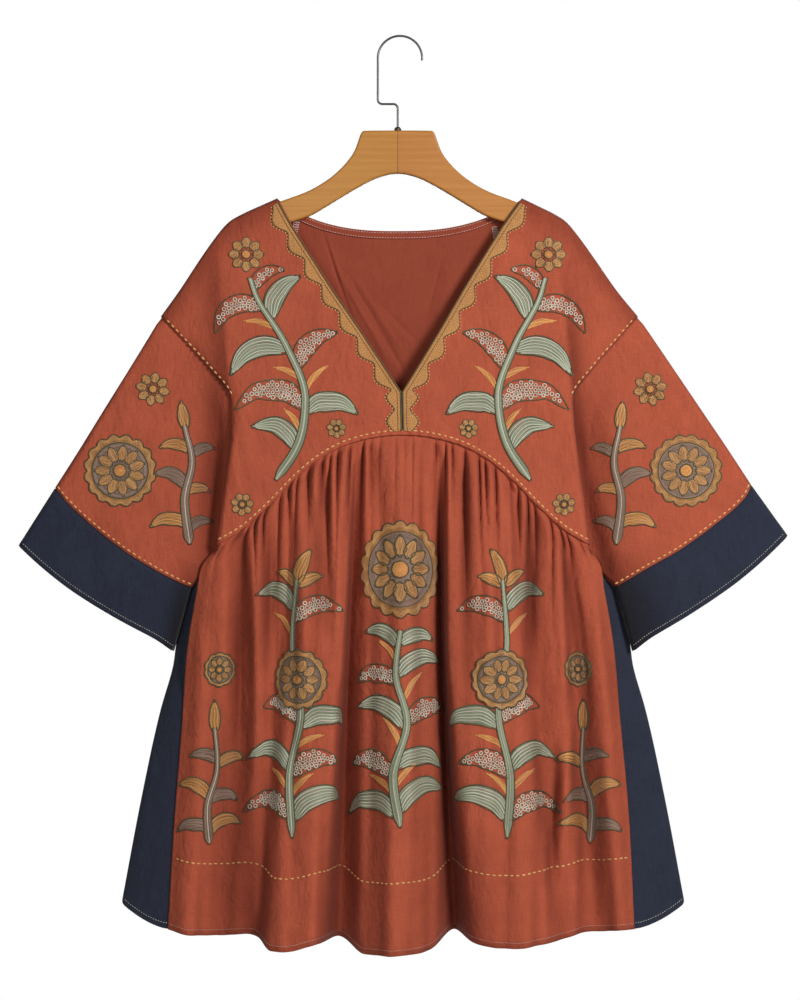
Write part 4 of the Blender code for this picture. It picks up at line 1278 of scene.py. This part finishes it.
stitch_tree, given, end, line = sewing_tree(
    "stitches", {"Pitch": "Float", "Length": "Float", "Radius": "Float", "Sides": "Int", "Seed": "Int"},
)
steps = {"Curve": line, "Length": given["Pitch"]}
steps = node(stitch_tree, "GeometryNodeResampleCurve", steps, mode="LENGTH")
bead = node(stitch_tree, "GeometryNodeMeshUVSphere", {
    "Radius": 1.0, "Segments": given["Sides"],
    "Rings": maths(stitch_tree, "DIVIDE", given["Sides"], RINGS_SHARE),
})
size = node(stitch_tree, "ShaderNodeCombineXYZ", {
    "X": given["Radius"], "Y": given["Radius"], "Z": maths(stitch_tree, "MULTIPLY", given["Length"], 0.5),
})
uneven = {2: SHORTEST, 3: LONGEST, "Seed": given["Seed"]}
uneven = node(stitch_tree, "FunctionNodeRandomValue", uneven, 1, data_type="FLOAT")
sized = node(stitch_tree, "ShaderNodeVectorMath", {0: size, "Scale": uneven}, operation="SCALE")
heading = node(stitch_tree, "GeometryNodeInputTangent")
turned = node(stitch_tree, "FunctionNodeAlignRotationToVector", {"Vector": heading}, axis="Z")
dropped = {"Points": steps, "Instance": bead, "Rotation": turned, "Scale": sized}
finish_tree(stitch_tree, given, end, node(stitch_tree, "GeometryNodeInstanceOnPoints", dropped))
print("trees:", thread_tree.name, stitch_tree.name)

# %% Sewing
def line_mesh(name, lines):
    """One mesh that holds many lines, each with its tone; a line is (points, closed, tone), and a fourth
    column of points is their painted shade.
    """
    points, edges, tones, hollow = [], [], [], []
    for places, closed, tone in lines:
        first = len(points)
        points.extend(places[:, :3].tolist())
        hollow.extend(places[:, 3] if places.shape[1] > 3 else np.zeros(len(places)))
        edges.extend((first + i, first + i + 1) for i in range(len(places) - 1))
        if closed:
            edges.append((first + len(places) - 1, first))
        tones.extend([tone] * len(places))
    mesh = bpy.data.meshes.new(name)
    mesh.from_pydata(points, edges, [])
    for label, values in (("tone", tones), ("hollow", hollow)):
        mesh.attributes.new(label, "FLOAT", "POINT").data.foreach_set("value", values)
    return mesh


def sewn(name, lines, colour, radius, sides, pitch=0.0, long=0.0, seed=0):
    """Makes a piece along lines: stitches if there is a pitch, else a thread. Sizes in millimetres."""
    tree = stitch_tree if pitch else thread_tree
    values = {"Radius": radius * MM, "Sides": sides, "Pitch": pitch * MM, "Length": long * MM, "Seed": seed}
    values["Thread"] = THREADS[colour]
    guide = add_object(name + "_guide", line_mesh(name, lines))
    maker = guide.modifiers.new("Sew", "NODES")
    maker.node_group = tree
    for item in tree.interface.items_tree:
        if item.in_out == "INPUT" and item.name in values:
            maker[item.identifier] = values[item.name]
    mesh = bpy.data.meshes.new_from_object(guide.evaluated_get(bpy.context.evaluated_depsgraph_get()))
    bpy.data.objects.remove(guide)
    mesh.name = name
    declare(add_object(name, mesh), "ochre_embroidery")
    mesh.calc_loop_triangles()
    print(name, "has", len(lines), "lines and", len(mesh.loop_triangles), "triangles")


def lay(lines, tone, name, x, z, lift, start=FRONT_Y):
    """Adds an open line on a wall to the lines of a piece."""
    lines.append((on_wall(name, np.ravel(x), np.ravel(z), lift, start), False, tone))


dice = np.random.default_rng(7)
print("tones are drawn from a fixed seed")

# %% [markdown]
# ## Running stitches and topstitching
#
# Thick gold running stitches follow the arch, the armholes, the seams above the bands and a line
# above the hem. Fine pale stitches hold the hem, the band's edge and the binding. Each row could be
# drawn by itself, but a row keeps one distance from its seam, so it is the seam's own line, moved.

# %% Seam lines
ARCH_STITCH, ARMHOLE_STITCH, BAND_STITCH = 5.0 * MM, 3.4 * MM, 3.4 * MM
HEM_STITCH, HEM_TOPSTITCH, CUFF_TOPSTITCH = 80 * MM, 6.5 * MM, 5.5 * MM
GOLD_LIFT, FINE_LIFT = 0.25 * MM, 0.05 * MM
GOLD_TONE, PALE_TONE, CREAM_TONE = 0.6, 0.5, 0.9
# Shares of a skirt's width that its rows of stitches leave free at each side
GOLD_MARGIN, FINE_MARGIN = 0.012, 0.004
HEM_STEPS, BAND_STEPS = 420, 60
# Radius, sides, pitch, length and seed of the thick stitches and of the fine ones
GOLD_THREAD, FINE_THREAD = (1.05, 7, 6.8, 4.6, 3), (0.42, 4, 3.0, 2.6, 5)
SIDE_HALF = SIDE_ACROSS // 2


def band_edge(hand, share, inwards, low, high):
    """x and z along the sleeve's end at a share from band to cuff edge, moved inwards."""
    outer, inner = band_ends(hand, share)
    spots = np.array([bowed_line(hand, share)(s, outer, inner) for s in np.linspace(low, high, BAND_STEPS)])
    way = np.array([inner[1] - outer[1], outer[0] - inner[0]])
    spots += inwards * way / np.linalg.norm(way)
    return hand * spots[:, 0], spots[:, 1]


def hem_rows(margin, up, lift, tone):
    """A line at a height above the hem of each skirt."""
    rows = []
    for name, folds, seam_line in (
        ("front_skirt", FRONT_FOLDS, front_seam), ("back_skirt", BACK_FOLDS, back_seam),
    ):
        long = seam_line(fold_row(folds, 0.0, HEM_STEPS - 1)[0]) - hem_line(folds, HEM_STEPS - 1)
        u = np.linspace(margin, 1 - margin, HEM_STEPS)
        rows.append((on_skirt(name, u, 1 - up / long, lift), False, tone))
    return rows


arch_x = np.linspace(-SIDE_X + 5 * MM, SIDE_X - 5 * MM, 140)
back_x = np.linspace(-SIDE_X + 6 * MM, SIDE_X - 6 * MM, 120)
arm_z = np.linspace(ARM_Z - 6 * MM, V_BOTTOM, 30)
gold = []
lay(gold, GOLD_TONE, "front_yoke", arch_x, front_seam(arch_x) + ARCH_STITCH, GOLD_LIFT)
lay(gold, GOLD_TONE, "back_yoke", back_x, back_seam(back_x) + ARCH_STITCH, GOLD_LIFT, BACK_Y)
for hand in (-1, 1):
    arm_x = hand * (along(ARMHOLE, arm_z) - ARMHOLE_STITCH)
    band_x, band_z = band_edge(hand, 0.0, BAND_STITCH, 0.02, 0.975)
    name = "sleeve_" + WORDS[hand]
    lay(gold, GOLD_TONE, "front_yoke", arm_x, arm_z, GOLD_LIFT)
    lay(gold, GOLD_TONE, "back_yoke", arm_x, arm_z, GOLD_LIFT, BACK_Y)
    lay(gold, GOLD_TONE, name, band_x, band_z, GOLD_LIFT)
    lay(gold, GOLD_TONE, name, band_x, band_z, GOLD_LIFT, BACK_Y)
gold += hem_rows(GOLD_MARGIN, HEM_STITCH, GOLD_LIFT, GOLD_TONE)
sewn("running_stitches", gold, "gold", *GOLD_THREAD)

# %% Topstitching
band_fine, side_fine = [], []
for hand in (-1, 1):
    name = "cuff_" + WORDS[hand]
    x, z = band_edge(hand, 1.0, CUFF_TOPSTITCH, 0.02, 0.97)
    lay(band_fine, CREAM_TONE, name, x, z, FINE_LIFT)
    lay(band_fine, CREAM_TONE, name, x, z - 3 * MM, FINE_LIFT, BACK_Y)
    name = "side_panel_" + WORDS[hand]
    corners = pieces[name].data.vertices[-SIDE_ACROSS - 1:-1]
    for half_way, start in ((slice(SIDE_HALF + 1), FRONT_Y), (slice(SIDE_HALF, None), BACK_Y)):
        x, z = np.array([(v.co.x, v.co.z + HEM_TOPSTITCH) for v in corners[half_way]]).T
        lay(side_fine, CREAM_TONE, name, x - along(LEAN, z), z, FINE_LIFT, start)
hem_fine = hem_rows(FINE_MARGIN, HEM_TOPSTITCH, FINE_LIFT, PALE_TONE)
sewn("topstitching", hem_fine, "pale", *FINE_THREAD)
sewn("band_topstitching", band_fine, "cream", *FINE_THREAD)
sewn("side_topstitching", side_fine, "cream", *FINE_THREAD)

# %% [markdown]
# ## The scalloped neck border
#
# Dense ochre stitching edges the V and the short slit at its point. It could be thousands of
# threads, but they lie too close to be told apart. So it is a thin strip with a stitched finish and
# a wavy outer edge, laid on the front yoke, outlined by a dark cord, with rows of thread on it, a
# row of dots outside the cord and a dark fold at the neck edge.

# %% The border's path
TRIM_THICK, TRIM_START, TRIM_NARROW, TRIM_WIDE = 1.0 * MM, 0.3 * MM, 8.0 * MM, 16.6 * MM
TRIM_WAVE, TRIM_FOOT_WAVE, TRIM_FULL_WAVES, TRIM_STEPS = 34.9 * MM, 27.5 * MM, 7, 300
# The border starts to turn into the slit this far before the V's point, and takes this long
TURN_BEFORE, TURN_LONG = 14 * MM, 20 * MM
# The border's path: from the shoulder to the V's point, and down the slit
TRIM_TOP = np.array([NECK_X - 3.0 * MM, NECK_Z - 6.0 * MM])
TRIM_CORNER = np.array([0.4 * MM, V_BOTTOM + 0.1 * MM])
TRIM_FOOT = np.array([0.4 * MM, float(front_seam(0)) + 4.5 * MM])


def trim_path(hand, shares, beyond=0.0):
    """x and z on the border for shares across it, one row for each step down the V and the slit."""
    slope, slit = math.dist(TRIM_TOP, TRIM_CORNER), math.dist(TRIM_CORNER, TRIM_FOOT)
    down = (TRIM_CORNER - TRIM_TOP) / slope
    run = np.linspace(0, slope + slit, TRIM_STEPS + 1)[:, None]
    in_slit = TRIM_CORNER + (TRIM_FOOT - TRIM_CORNER) * (run - slope) / slit
    place = np.where(run < slope, TRIM_TOP + down * run, in_slit)
    turn = eased((run - slope + TURN_BEFORE) / TURN_LONG)
    out = np.array([-down[1], down[0]]) * (1 - turn) + np.array([1.0, 0.0]) * turn
    out /= np.linalg.norm(out, axis=1, keepdims=True)
    long = TRIM_FULL_WAVES * TRIM_WAVE
    waves = np.where(run < long, run / TRIM_WAVE, TRIM_FULL_WAVES + (run - long) / TRIM_FOOT_WAVE)
    lobe = (0.5 - 0.5 * np.cos(2 * math.pi * waves)) ** 0.8
    full = TRIM_NARROW + (TRIM_WIDE - TRIM_NARROW) * lobe - TRIM_START
    reach = TRIM_START + full * np.array(shares)[None, :] + beyond
    return hand * (place[:, :1] + out[:, :1] * reach), place[:, 1:] + out[:, 1:] * reach


def trim_lines(shares, beyond, lift, tone=0.5):
    """Lines down both borders, at shares across them and so many millimetres beyond."""
    lines = []
    for hand in WORDS:
        for share in shares:
            lay(lines, tone, "front_yoke", *trim_path(hand, [share], beyond * MM), lift * MM)
    return lines


for hand, word in WORDS.items():
    x, z = trim_path(hand, np.linspace(0, 1, 9))
    places = on_wall("front_yoke", x.ravel(), z.ravel(), SEAM_GAP + TRIM_THICK / 2)
    panel("neck_trim_" + word, places.reshape(*x.shape, 3), BORDER, thick=TRIM_THICK, leans=False)

# %% Cord, dots, edge fold and the stitch rows on the border
# Radius and sides of the cords; the dots and rows are stitches, so they have pitch, length and seed
CORD, FOLD, INNER_LINE = (0.75, 6), (0.8, 6), (0.45, 5)
DOTS, ROWS = (0.95, 6, 3.75, 2.1, 8), (0.48, 4, 3.3, 2.6, 9)
ROW_SHARES = [0.3, 0.45, 0.6, 0.74, 0.87]
slit_z = np.linspace(V_BOTTOM + 2 * MM, float(front_seam(0)) + 5 * MM, 16)
inner_lines = trim_lines([0.0], 4.4, 1.4)
lay(inner_lines, 0.2, "front_yoke", 0 * slit_z, slit_z, 0.6 * MM)
sewn("border_cord", trim_lines([1.0], 0.3, 0.45), "olive", *CORD)
sewn("border_fold", trim_lines([0.0], 0.4, 1.75), "olive", *FOLD)
sewn("border_line", inner_lines, "brown", *INNER_LINE)
sewn("border_dots", trim_lines([1.0], 2.0, 0.35), "gold", *DOTS)
sewn("border_rows", trim_lines(ROW_SHARES, 0.0, 1.45, 0.9), "gold", *ROWS)

# %% [markdown]
# ## Embroidery
#
# The embroidery here is a plain design of this script's own: leafy sprigs, daisies and rosettes in
# sage, ochre and grey-brown. It could be an image on the cloth, but embroidery stands up and catches
# the light. A motif is drawn flat, in millimetres, with complex numbers for places, because a turn
# is then one multiplication. Each stroke names its thread and its height above the cloth. Only
# afterwards is the motif laid on the dress, where its threads follow folds and creases.

# %% Threads, kinds of leaf and smooth lines
STRAND, FINE_LEAF, RING_PITCH, STEM_STRANDS = 1.35, 12.0, 5.6, 7
LOW, MIDDLE, STEM_LIFT = 0.3 * MM, 0.6 * MM, 0.75 * MM
EYE_LIFT, DAISY_LIFT = 0.3 * MM, 0.4 * MM
# In a leaf: how far strands end before its tip, its filled share, and how much its strands sway
LEAF_TIP, LEAF_FILL, SWAY = 0.08, 0.9, 0.3
# In rings' pitches: the room that a ring needs beside a leaf's rim, and the step between rows
RING_ROOM, RING_STEP = 0.42, 0.87
# Shares of a daisy's or a rosette's radius
EYE, PETAL_START, ROUND, ROUND_DAISY, LOBES = 0.24, 0.36, 0.8, 0.72, 0.09
# Each kind of leaf: the thread that fills it, the thread of its veins, the thread of its outline
LEAF_KINDS = {
    "lance": ("sage", "cream", "olive"),
    "dark":  ("taupe", None, "olive"),
    "petal": ("ochre", None, "olive"),
    "spark": ("orange", None, None),
    "bud":   ("ochre", "orange", "olive"),
}


def path(places, count):
    """A smooth open line through a few complex places."""
    spots = np.array(places, complex)
    fine = np.linspace(0, len(spots) - 1, count)
    whole = np.arange(len(spots), dtype=float)
    return smooth(whole, spots.real, fine) + 1j * smooth(whole, spots.imag, fine)


def across_line(line):
    """The way to the left of a line at each of its places."""
    way = np.gradient(line)
    return 1j * way / np.abs(way)


def unit_ring(count):
    """Complex places round a circle of radius 1."""
    return np.exp(1j * np.linspace(0, 2 * math.pi, count, endpoint=False))


print("leaf kinds:", list(LEAF_KINDS), "and seed")

# %% Leaves
def blade(spine, wide):
    """A leaf's shares along its spine, half widths, ways to the left, and rim."""
    t = np.linspace(0, 1, len(spine))
    half, out = wide / 2 * np.sin(math.pi * t**0.8) ** 0.75, across_line(spine)
    return t, half, out, np.concatenate([spine + out * half, (spine - out * half)[-2:0:-1]])


def leaf(spine, wide, kind):
    """A leaf round a spine: strands of thread along it, and an outline."""
    t, half, out, rim = blade(spine, wide)
    fill_colour, vein, edge = LEAF_KINDS[kind]
    strokes = []
    strands = max(int(wide / STRAND), 2)
    for k in range(strands):
        share = (2 * k + 1) / strands - 1
        middle = LEAF_TIP * abs(share)
        kept = (t >= middle) & (t <= 1 - middle)
        strand = (spine + out * half * share * LEAF_FILL + SWAY * out * np.sin(11 * t + 2 * k))[kept]
        strokes.append((vein if vein and k % 3 == 1 else fill_colour, strand, False, LOW))
    if edge:
        strokes.append((edge if wide > FINE_LEAF else "fine " + edge, rim, True, MIDDLE))
    return strokes


def seeded(spine, wide):
    """A leaf filled with small rings of thread, set like the cells of a comb."""
    t, half, out, rim = blade(spine, wide)
    strokes = []
    row_step = RING_PITCH * RING_STEP / np.abs(np.diff(spine)).sum()
    for row, share in enumerate(np.arange(0.06, 0.95, row_step)):
        room = float(np.interp(share, t, half)) - RING_ROOM * RING_PITCH
        middle, side = (np.interp(share, t, v.real) + 1j * np.interp(share, t, v.imag) for v in (spine, out))
        for off in np.arange(RING_PITCH * (0.5 * (row % 2) - math.ceil(wide)), wide, RING_PITCH):
            if abs(off) <= room:
                size = RING_PITCH * (0.35 + 0.04 * math.sin(5 * row + 3 * off))
                strokes.append(("cream", middle + side * off + size * unit_ring(10), True, MIDDLE))
    return strokes + [("olive", rim, True, MIDDLE)]


print("strokes in a small leaf:", len(leaf(path([0, 20, 40], 12), FINE_LEAF, "lance")))

# %% Flowers and plants
def disc(centre, radius, colour, edge=None):
    """A round filled with rings of thread."""
    rings = np.arange(STRAND / 2, radius, STRAND)
    strokes = [(colour, centre + r * unit_ring(max(int(r * 1.5), 8)), True, LOW) for r in rings]
    if edge:
        strokes.append((edge, centre + radius * unit_ring(72), True, MIDDLE))
    return strokes


def raised(strokes, amount):
    """The same strokes on top of others."""
    return [(colour, line, closed, lift + amount) for colour, line, closed, lift in strokes]


def daisy(centre, radius, petals, turn=0.0):
    """Petals round an eye."""
    strokes = []
    for k in range(petals):
        way = np.exp(1j * (2 * math.pi * k / petals + turn))
        spine = centre + way * np.linspace(PETAL_START, 1.0, 10) * radius
        strokes += leaf(spine, 1.45 * radius * math.sin(math.pi / petals), "petal")
    return strokes + raised(disc(centre, EYE * radius, "orange", "olive"), EYE_LIFT)


def rosette(centre, radius, petals, scallops):
    """A daisy on a grey-brown round with a scalloped ochre edge."""
    round_way = unit_ring(10 * scallops)
    lobes = LOBES * np.abs(np.sin(scallops * np.linspace(0, math.pi, 10 * scallops, endpoint=False)))
    strokes = disc(centre, ROUND * radius, "taupe")
    for share in np.linspace(0.05, 0.95, int(0.16 * radius / STRAND) + 2):
        strokes.append(("ochre", centre + radius * (ROUND + share * (0.13 + lobes)) * round_way, True, LOW))
    for rim in (0.93 + lobes, 0.79):
        strokes.append(("olive", centre + radius * rim * round_way, True, MIDDLE))
    return strokes + raised(daisy(centre, ROUND_DAISY * radius, petals), DAISY_LIFT)


def plant(stem, leaves, stem_colour="sage"):
    """A stem with leaves: each row has its share up the stem, turn, length, width, bend and kind."""
    line = path(stem, 70)
    out, strokes = across_line(line), []
    for share, turn, long, wide, bend, kind in leaves:
        i = int(share * (len(line) - 1))
        way = -1j * out[i] * np.exp(1j * math.radians(turn))
        curve = np.exp(1j * math.radians(bend))
        spine = line[i] + way * long * np.array([0, 0.36, 0.7 * curve**0.5, 1.0 * curve])
        spine = path(spine, max(int(long / 3.3), 8))
        strokes += seeded(spine, wide) if kind == "seed" else leaf(spine, wide, kind)
    taper = np.interp(np.linspace(0, 1, len(line)), (0.0, 0.05, 1.0), (0.3, 1.0, 0.45))
    offsets = [(k - (STEM_STRANDS - 1) / 2) * STRAND for k in range(STEM_STRANDS)]
    edge = STEM_STRANDS / 2 * STRAND + 0.3
    colours = ["cream" if off == 0 else stem_colour for off in offsets] + ["olive", "olive"]
    for colour, off in zip(colours, offsets + [-edge, edge]):
        strokes.append((colour, line + off * out * taper, False, LOW + STEM_LIFT))
    return strokes


print("strokes in a daisy of eight petals:", len(daisy(0, 20, 8)))

# %% The motifs, in millimetres on the dress
YOKE_STEM = [142 - 500j, 116 - 458j, 108 - 408j, 128 - 350j, 156 - 302j, 166 - 274j]
YOKE_LEAVES = [
    (0.17, -52, 56, 21, -38, "lance"), (0.34, 50, 60, 23, 36, "lance"),
    (0.36, -48, 78, 24, -46, "seed"), (0.52, 40, 62, 22, 30, "seed"), (0.58, -52, 72, 23, -36, "lance"),
    (0.72, 42, 62, 22, 26, "lance"), (0.78, -42, 62, 21, -44, "seed"), (0.91, 44, 42, 16, 30, "seed"),
    (0.24, -36, 36, 7, -14, "spark"), (0.43, 34, 40, 7, 14, "spark"), (0.47, -34, 36, 7, -14, "spark"),
    (0.68, -30, 40, 7, -14, "spark"),
]
CENTRE_STEM = [0 - 884j, -8 - 830j, 7 - 770j, -5 - 715j, 0 - 668j]
CENTRE_LEAVES = [
    (0.05, 40, 74, 22, 40, "lance"), (0.07, -40, 70, 22, -40, "lance"), (0.26, 46, 62, 23, 34, "seed"),
    (0.29, -46, 66, 21, -34, "lance"), (0.47, 44, 68, 21, 36, "lance"), (0.50, -44, 58, 23, -32, "seed"),
    (0.70, 46, 54, 21, 32, "seed"), (0.73, -46, 60, 20, -36, "lance"), (0.91, 44, 46, 17, 34, "lance"),
    (0.92, -44, 44, 17, -32, "lance"), (0.17, 36, 40, 7, 14, "spark"), (0.19, -36, 40, 7, -14, "spark"),
    (0.39, 36, 40, 7, 14, "spark"), (0.60, -36, 40, 7, -14, "spark"), (0.82, 36, 34, 6, 14, "spark"),
]
FLANK_STEM = [0 - 896j, 6 - 830j, -6 - 760j, 5 - 680j, 0 - 612j]
FLANK_LEAVES = [
    (0.06, 38, 76, 23, 40, "lance"), (0.08, -38, 70, 22, -40, "seed"), (0.25, 42, 62, 23, 32, "seed"),
    (0.28, -44, 64, 21, -40, "lance"), (0.45, 46, 64, 22, 34, "lance"), (0.47, -46, 58, 23, -34, "seed"),
    (0.84, 40, 60, 21, 34, "seed"), (0.87, -42, 60, 20, -36, "lance"), (0.17, 34, 40, 7, 14, "spark"),
    (0.19, -34, 40, 7, -14, "spark"), (0.37, 36, 38, 7, 14, "spark"), (0.78, -36, 38, 7, -14, "spark"),
    (0.98, 4, 46, 16, 14, "bud"), (0.98, -50, 34, 13, -14, "bud"), (0.98, 50, 34, 13, 14, "bud"),
]
EDGE_STEM = [0 - 906j, 5 - 866j, -4 - 822j, 2 - 778j]
EDGE_LEAVES = [
    (0.08, 44, 44, 15, 38, "bud"), (0.12, -46, 38, 14, -36, "dark"), (0.38, 46, 38, 14, 34, "dark"),
    (0.42, -46, 42, 15, -34, "bud"), (0.68, 44, 36, 14, 30, "bud"), (0.72, -44, 34, 13, -30, "dark"),
    (0.97, 6, 38, 14, 0, "bud"),
]
SLEEVE_STEM = [240 - 572j, 246 - 524j, 238 - 480j, 245 - 440j]
SLEEVE_LEAVES = [
    (0.10, 40, 30, 12, 36, "dark"), (0.14, -46, 42, 15, -36, "bud"), (0.40, 44, 28, 12, 34, "bud"),
    (0.44, -46, 40, 15, -32, "dark"), (0.72, 44, 28, 12, 30, "dark"), (0.76, -44, 36, 13, -30, "bud"),
    (0.97, 4, 34, 13, 0, "bud"),
]
ON_STEM = 1.1 * MM
yoke_motif = plant(YOKE_STEM, YOKE_LEAVES) + daisy(170 - 247j, 20, 8) + daisy(74 - 443j, 11, 7, 0.2)
yoke_motif += daisy(180 - 528j, 13, 7, 0.3)
sleeve_motif = plant(SLEEVE_STEM, SLEEVE_LEAVES, "taupe") + rosette(318 - 490j, 40, 11, 16)
sleeve_motif += daisy(280 - 398j, 19, 8, 0.2)
centre_motif = plant(CENTRE_STEM, CENTRE_LEAVES) + rosette(0 - 600j, 53, 12, 18)
flank_motif = plant(FLANK_STEM, FLANK_LEAVES) + raised(rosette(-2 - 722j, 33, 10, 14), ON_STEM)
edge_motif = plant(EDGE_STEM, EDGE_LEAVES, "taupe") + rosette(-2 - 712j, 19, 8, 10)
print("strokes in the yoke's motif:", len(yoke_motif))

# %% Lay the motifs on the dress
FRONT_GRID = SKIRTS["front_skirt"][0]
ROW_LONG = np.linalg.norm(np.diff(FRONT_GRID, axis=1), axis=2).sum(axis=1)[1:]
COLUMN_TOP = FRONT_GRID[1, :, 2]
COLUMN_TALL = np.abs(FRONT_GRID[-1, :, 2] - COLUMN_TOP)
FLANK_X, EDGE_X, ANCHOR_SHARE = 118 * MM, 212 * MM, 0.7
THREAD_RADIUS, THREAD_SIDES = 0.75, 4
# Outlines are rows of long stitches: the radius of each kind, then sides, pitch, length and seed
OUTLINE_RADIUS, OUTLINE = {"olive": 0.95, "fine olive": 0.62}, (6, 3.0, 4.5, 4)
sewing = {}
on_sheet = {}


def wall_placer(name, hand):
    """Lays a stroke on a panel as seen from in front; hand -1 mirrors it."""

    def place(stroke, lift):
        laid = on_wall(name, hand * stroke.real * MM, stroke.imag * MM, lift)
        # Threads on a sleeve carry the sleeve's painted shade
        if name.startswith("sleeve") and len(laid):
            laid = np.column_stack([laid, shaded(np.abs(laid[:, 0]), laid[:, 2], BODY_SHADE[hand])])
        return laid

    return place


def skirt_placer(anchor_x, hand):
    """Lays a stroke on the front skirt, measured along the cloth from a line at anchor_x."""
    half_way = FRONT_GRID[np.searchsorted(SKIRT_SHARES, ANCHOR_SHARE)]
    u_anchor = float(np.interp(anchor_x, half_way[:, 0], np.linspace(0, 1, len(half_way))))

    def place(stroke, lift):
        share, u = np.full(stroke.shape, 0.5), np.full(stroke.shape, u_anchor)
        for _ in range(3):
            column = u * (len(COLUMN_TALL) - 1)
            top_z, tall = (np.interp(column, np.arange(len(v)), v) for v in (COLUMN_TOP, COLUMN_TALL))
            share = (top_z - stroke.imag * MM) / tall
            u = u_anchor + hand * stroke.real * MM / np.interp(share, SKIRT_SHARES[1:], ROW_LONG)
        return on_skirt("front_skirt", u, share, lift)

    return place


def embroider(region, strokes, place):
    """Lays every stroke and keeps it with those of its own thread."""
    for colour, stroke, closed, lift in strokes:
        laid = place(stroke, lift)
        if len(laid) > 2:
            sewing.setdefault((region, colour), []).append((laid, closed, float(dice.uniform(0.1, 1.0))))


for hand, word in WORDS.items():
    embroider("yoke", yoke_motif, wall_placer("front_yoke", hand))
    embroider("sleeve_" + word, sleeve_motif, wall_placer("sleeve_" + word, hand))
    embroider("flank", flank_motif, skirt_placer(hand * FLANK_X, hand))
    embroider("edge", edge_motif, skirt_placer(hand * EDGE_X, hand))
embroider("centre", centre_motif, skirt_placer(0.0, 1))
for (region, colour), lines in sewing.items():
    name = f"{region}_{colour.replace(' ', '_')}_thread"
    thread = colour.split()[-1]
    if colour in OUTLINE_RADIUS:
        sewn(name, lines, thread, OUTLINE_RADIUS[colour], *OUTLINE)
    else:
        sewn(name, lines, thread, THREAD_RADIUS, THREAD_SIDES)
    on_sheet.setdefault(region, []).append(name)

# %% [markdown]
# ## Inside the back neck
#
# The back neck is bound with a narrow strip turned to the inside and stitched twice, and the ends of
# the shoulder seams show their overlocked edges. The strip could be a colour on the yoke, but its
# edge throws a fine shadow, so it is a panel on the yoke's inner wall. An overlocked edge is thread
# that loops to and fro, so each one is a single looping line.

# %% Binding and overlocked seams
BINDING_WIDE, BINDING_LIFT, STITCH_LIFT = 8.0 * MM, SEAM_GAP + 0.5 * MM, 1.35 * MM
SERGE_LOOPS, SERGE_WIDE, SERGE_TALL, SERGE_LIFT = 9, 6.5 * MM, 24 * MM, 1.1 * MM
BINDING_ROWS, BINDING_THREAD, SERGE_THREAD = (0.14, 0.86), (0.42, 5, 3.0, 2.5, 6), (0.38, 5)
bind_x = np.linspace(-NECK_X + 8 * MM, NECK_X - 8 * MM, 90)
bind_top = back_neck(bind_x) - 1.0 * MM
strips, double, serged = [], [], []
for s in np.linspace(0, 1, 6):
    strips.append(on_wall("back_yoke", bind_x, bind_top - BINDING_WIDE * s, BINDING_LIFT, INSIDE_Y))
panel("back_neck_binding", np.array(strips), DARKER_INSIDE, thick=TRIM_THICK, leans=False)
for s in BINDING_ROWS:
    lay(double, 0.6, "back_yoke", bind_x, bind_top - BINDING_WIDE * s, STITCH_LIFT, INSIDE_Y)
sewn("binding_stitches", double, "pale", *BINDING_THREAD)
step = np.linspace(0, 1, 12 * SERGE_LOOPS)
loops = 2 * math.pi * SERGE_LOOPS * step
for hand, middle_x, top_z in ((-1, -114 * MM, -205 * MM), (1, 110 * MM, -213 * MM)):
    x = middle_x + hand * 4 * MM * step + 0.5 * SERGE_WIDE * np.sin(loops)
    z = top_z - SERGE_TALL * step - 1.2 * MM * np.cos(loops)
    lay(serged, 0.7, "back_yoke", x, z, SERGE_LIFT, INSIDE_Y)
sewn("overlocked_seams", serged, "pale", *SERGE_THREAD)

# %% [markdown]
# ## Sizes, sheets and the end
#
# Every panel is listed with the sheet it was cut from. The sizes could be measured on the meshes,
# but gathers and folds take up cloth, so the flat cut is stated.

TRIMS = ["cloth_neck_trim_left", "cloth_neck_trim_right"]
SHEETS = {
    "front_yoke":  ((0.54, 0.39), 0.112, "hung", "wooden_hanger", TRIMS, ["yoke"]),
    "back_yoke":   ((0.54, 0.39), 0.148, "hung", "wooden_hanger", ["cloth_back_neck_binding"], []),
    "front_skirt": ((0.72, 0.58), 0.375, "gathered", "cloth_front_yoke", ["running_stitches"],
                    ["flank", "edge", "centre"]),
    "back_skirt":  ((0.62, 0.51), 0.3, "gathered", "cloth_back_yoke", ["topstitching"], []),
}
for kind, flat, area, rests_on in (
    ("side_panel_", (0.15, 0.41), 0.038, "cloth_front_skirt"),
    ("sleeve_", (0.55, 0.22), 0.08, "cloth_front_yoke"),
    ("cuff_", (0.42, 0.09), 0.036, "cloth_sleeve_"),
):
    for word in ("left", "right"):
        own = [kind + word] if kind + word in on_sheet else []
        SHEETS[kind + word] = (flat, area, "hung", rests_on + word * rests_on.endswith("_"), [], own)
for name, (flat, area, held, rests_on, sewn_on, regions) in SHEETS.items():
    with_pieces = sewn_on + [thread for region in regions for thread in on_sheet[region]]

# %% Print the sizes against the CAD box
low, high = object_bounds()
past = [[round(v / MM, 1) for v in gap] for gap in (low - cad_low, high - cad_high)]
print("visual box less CAD box, mm:", *past)
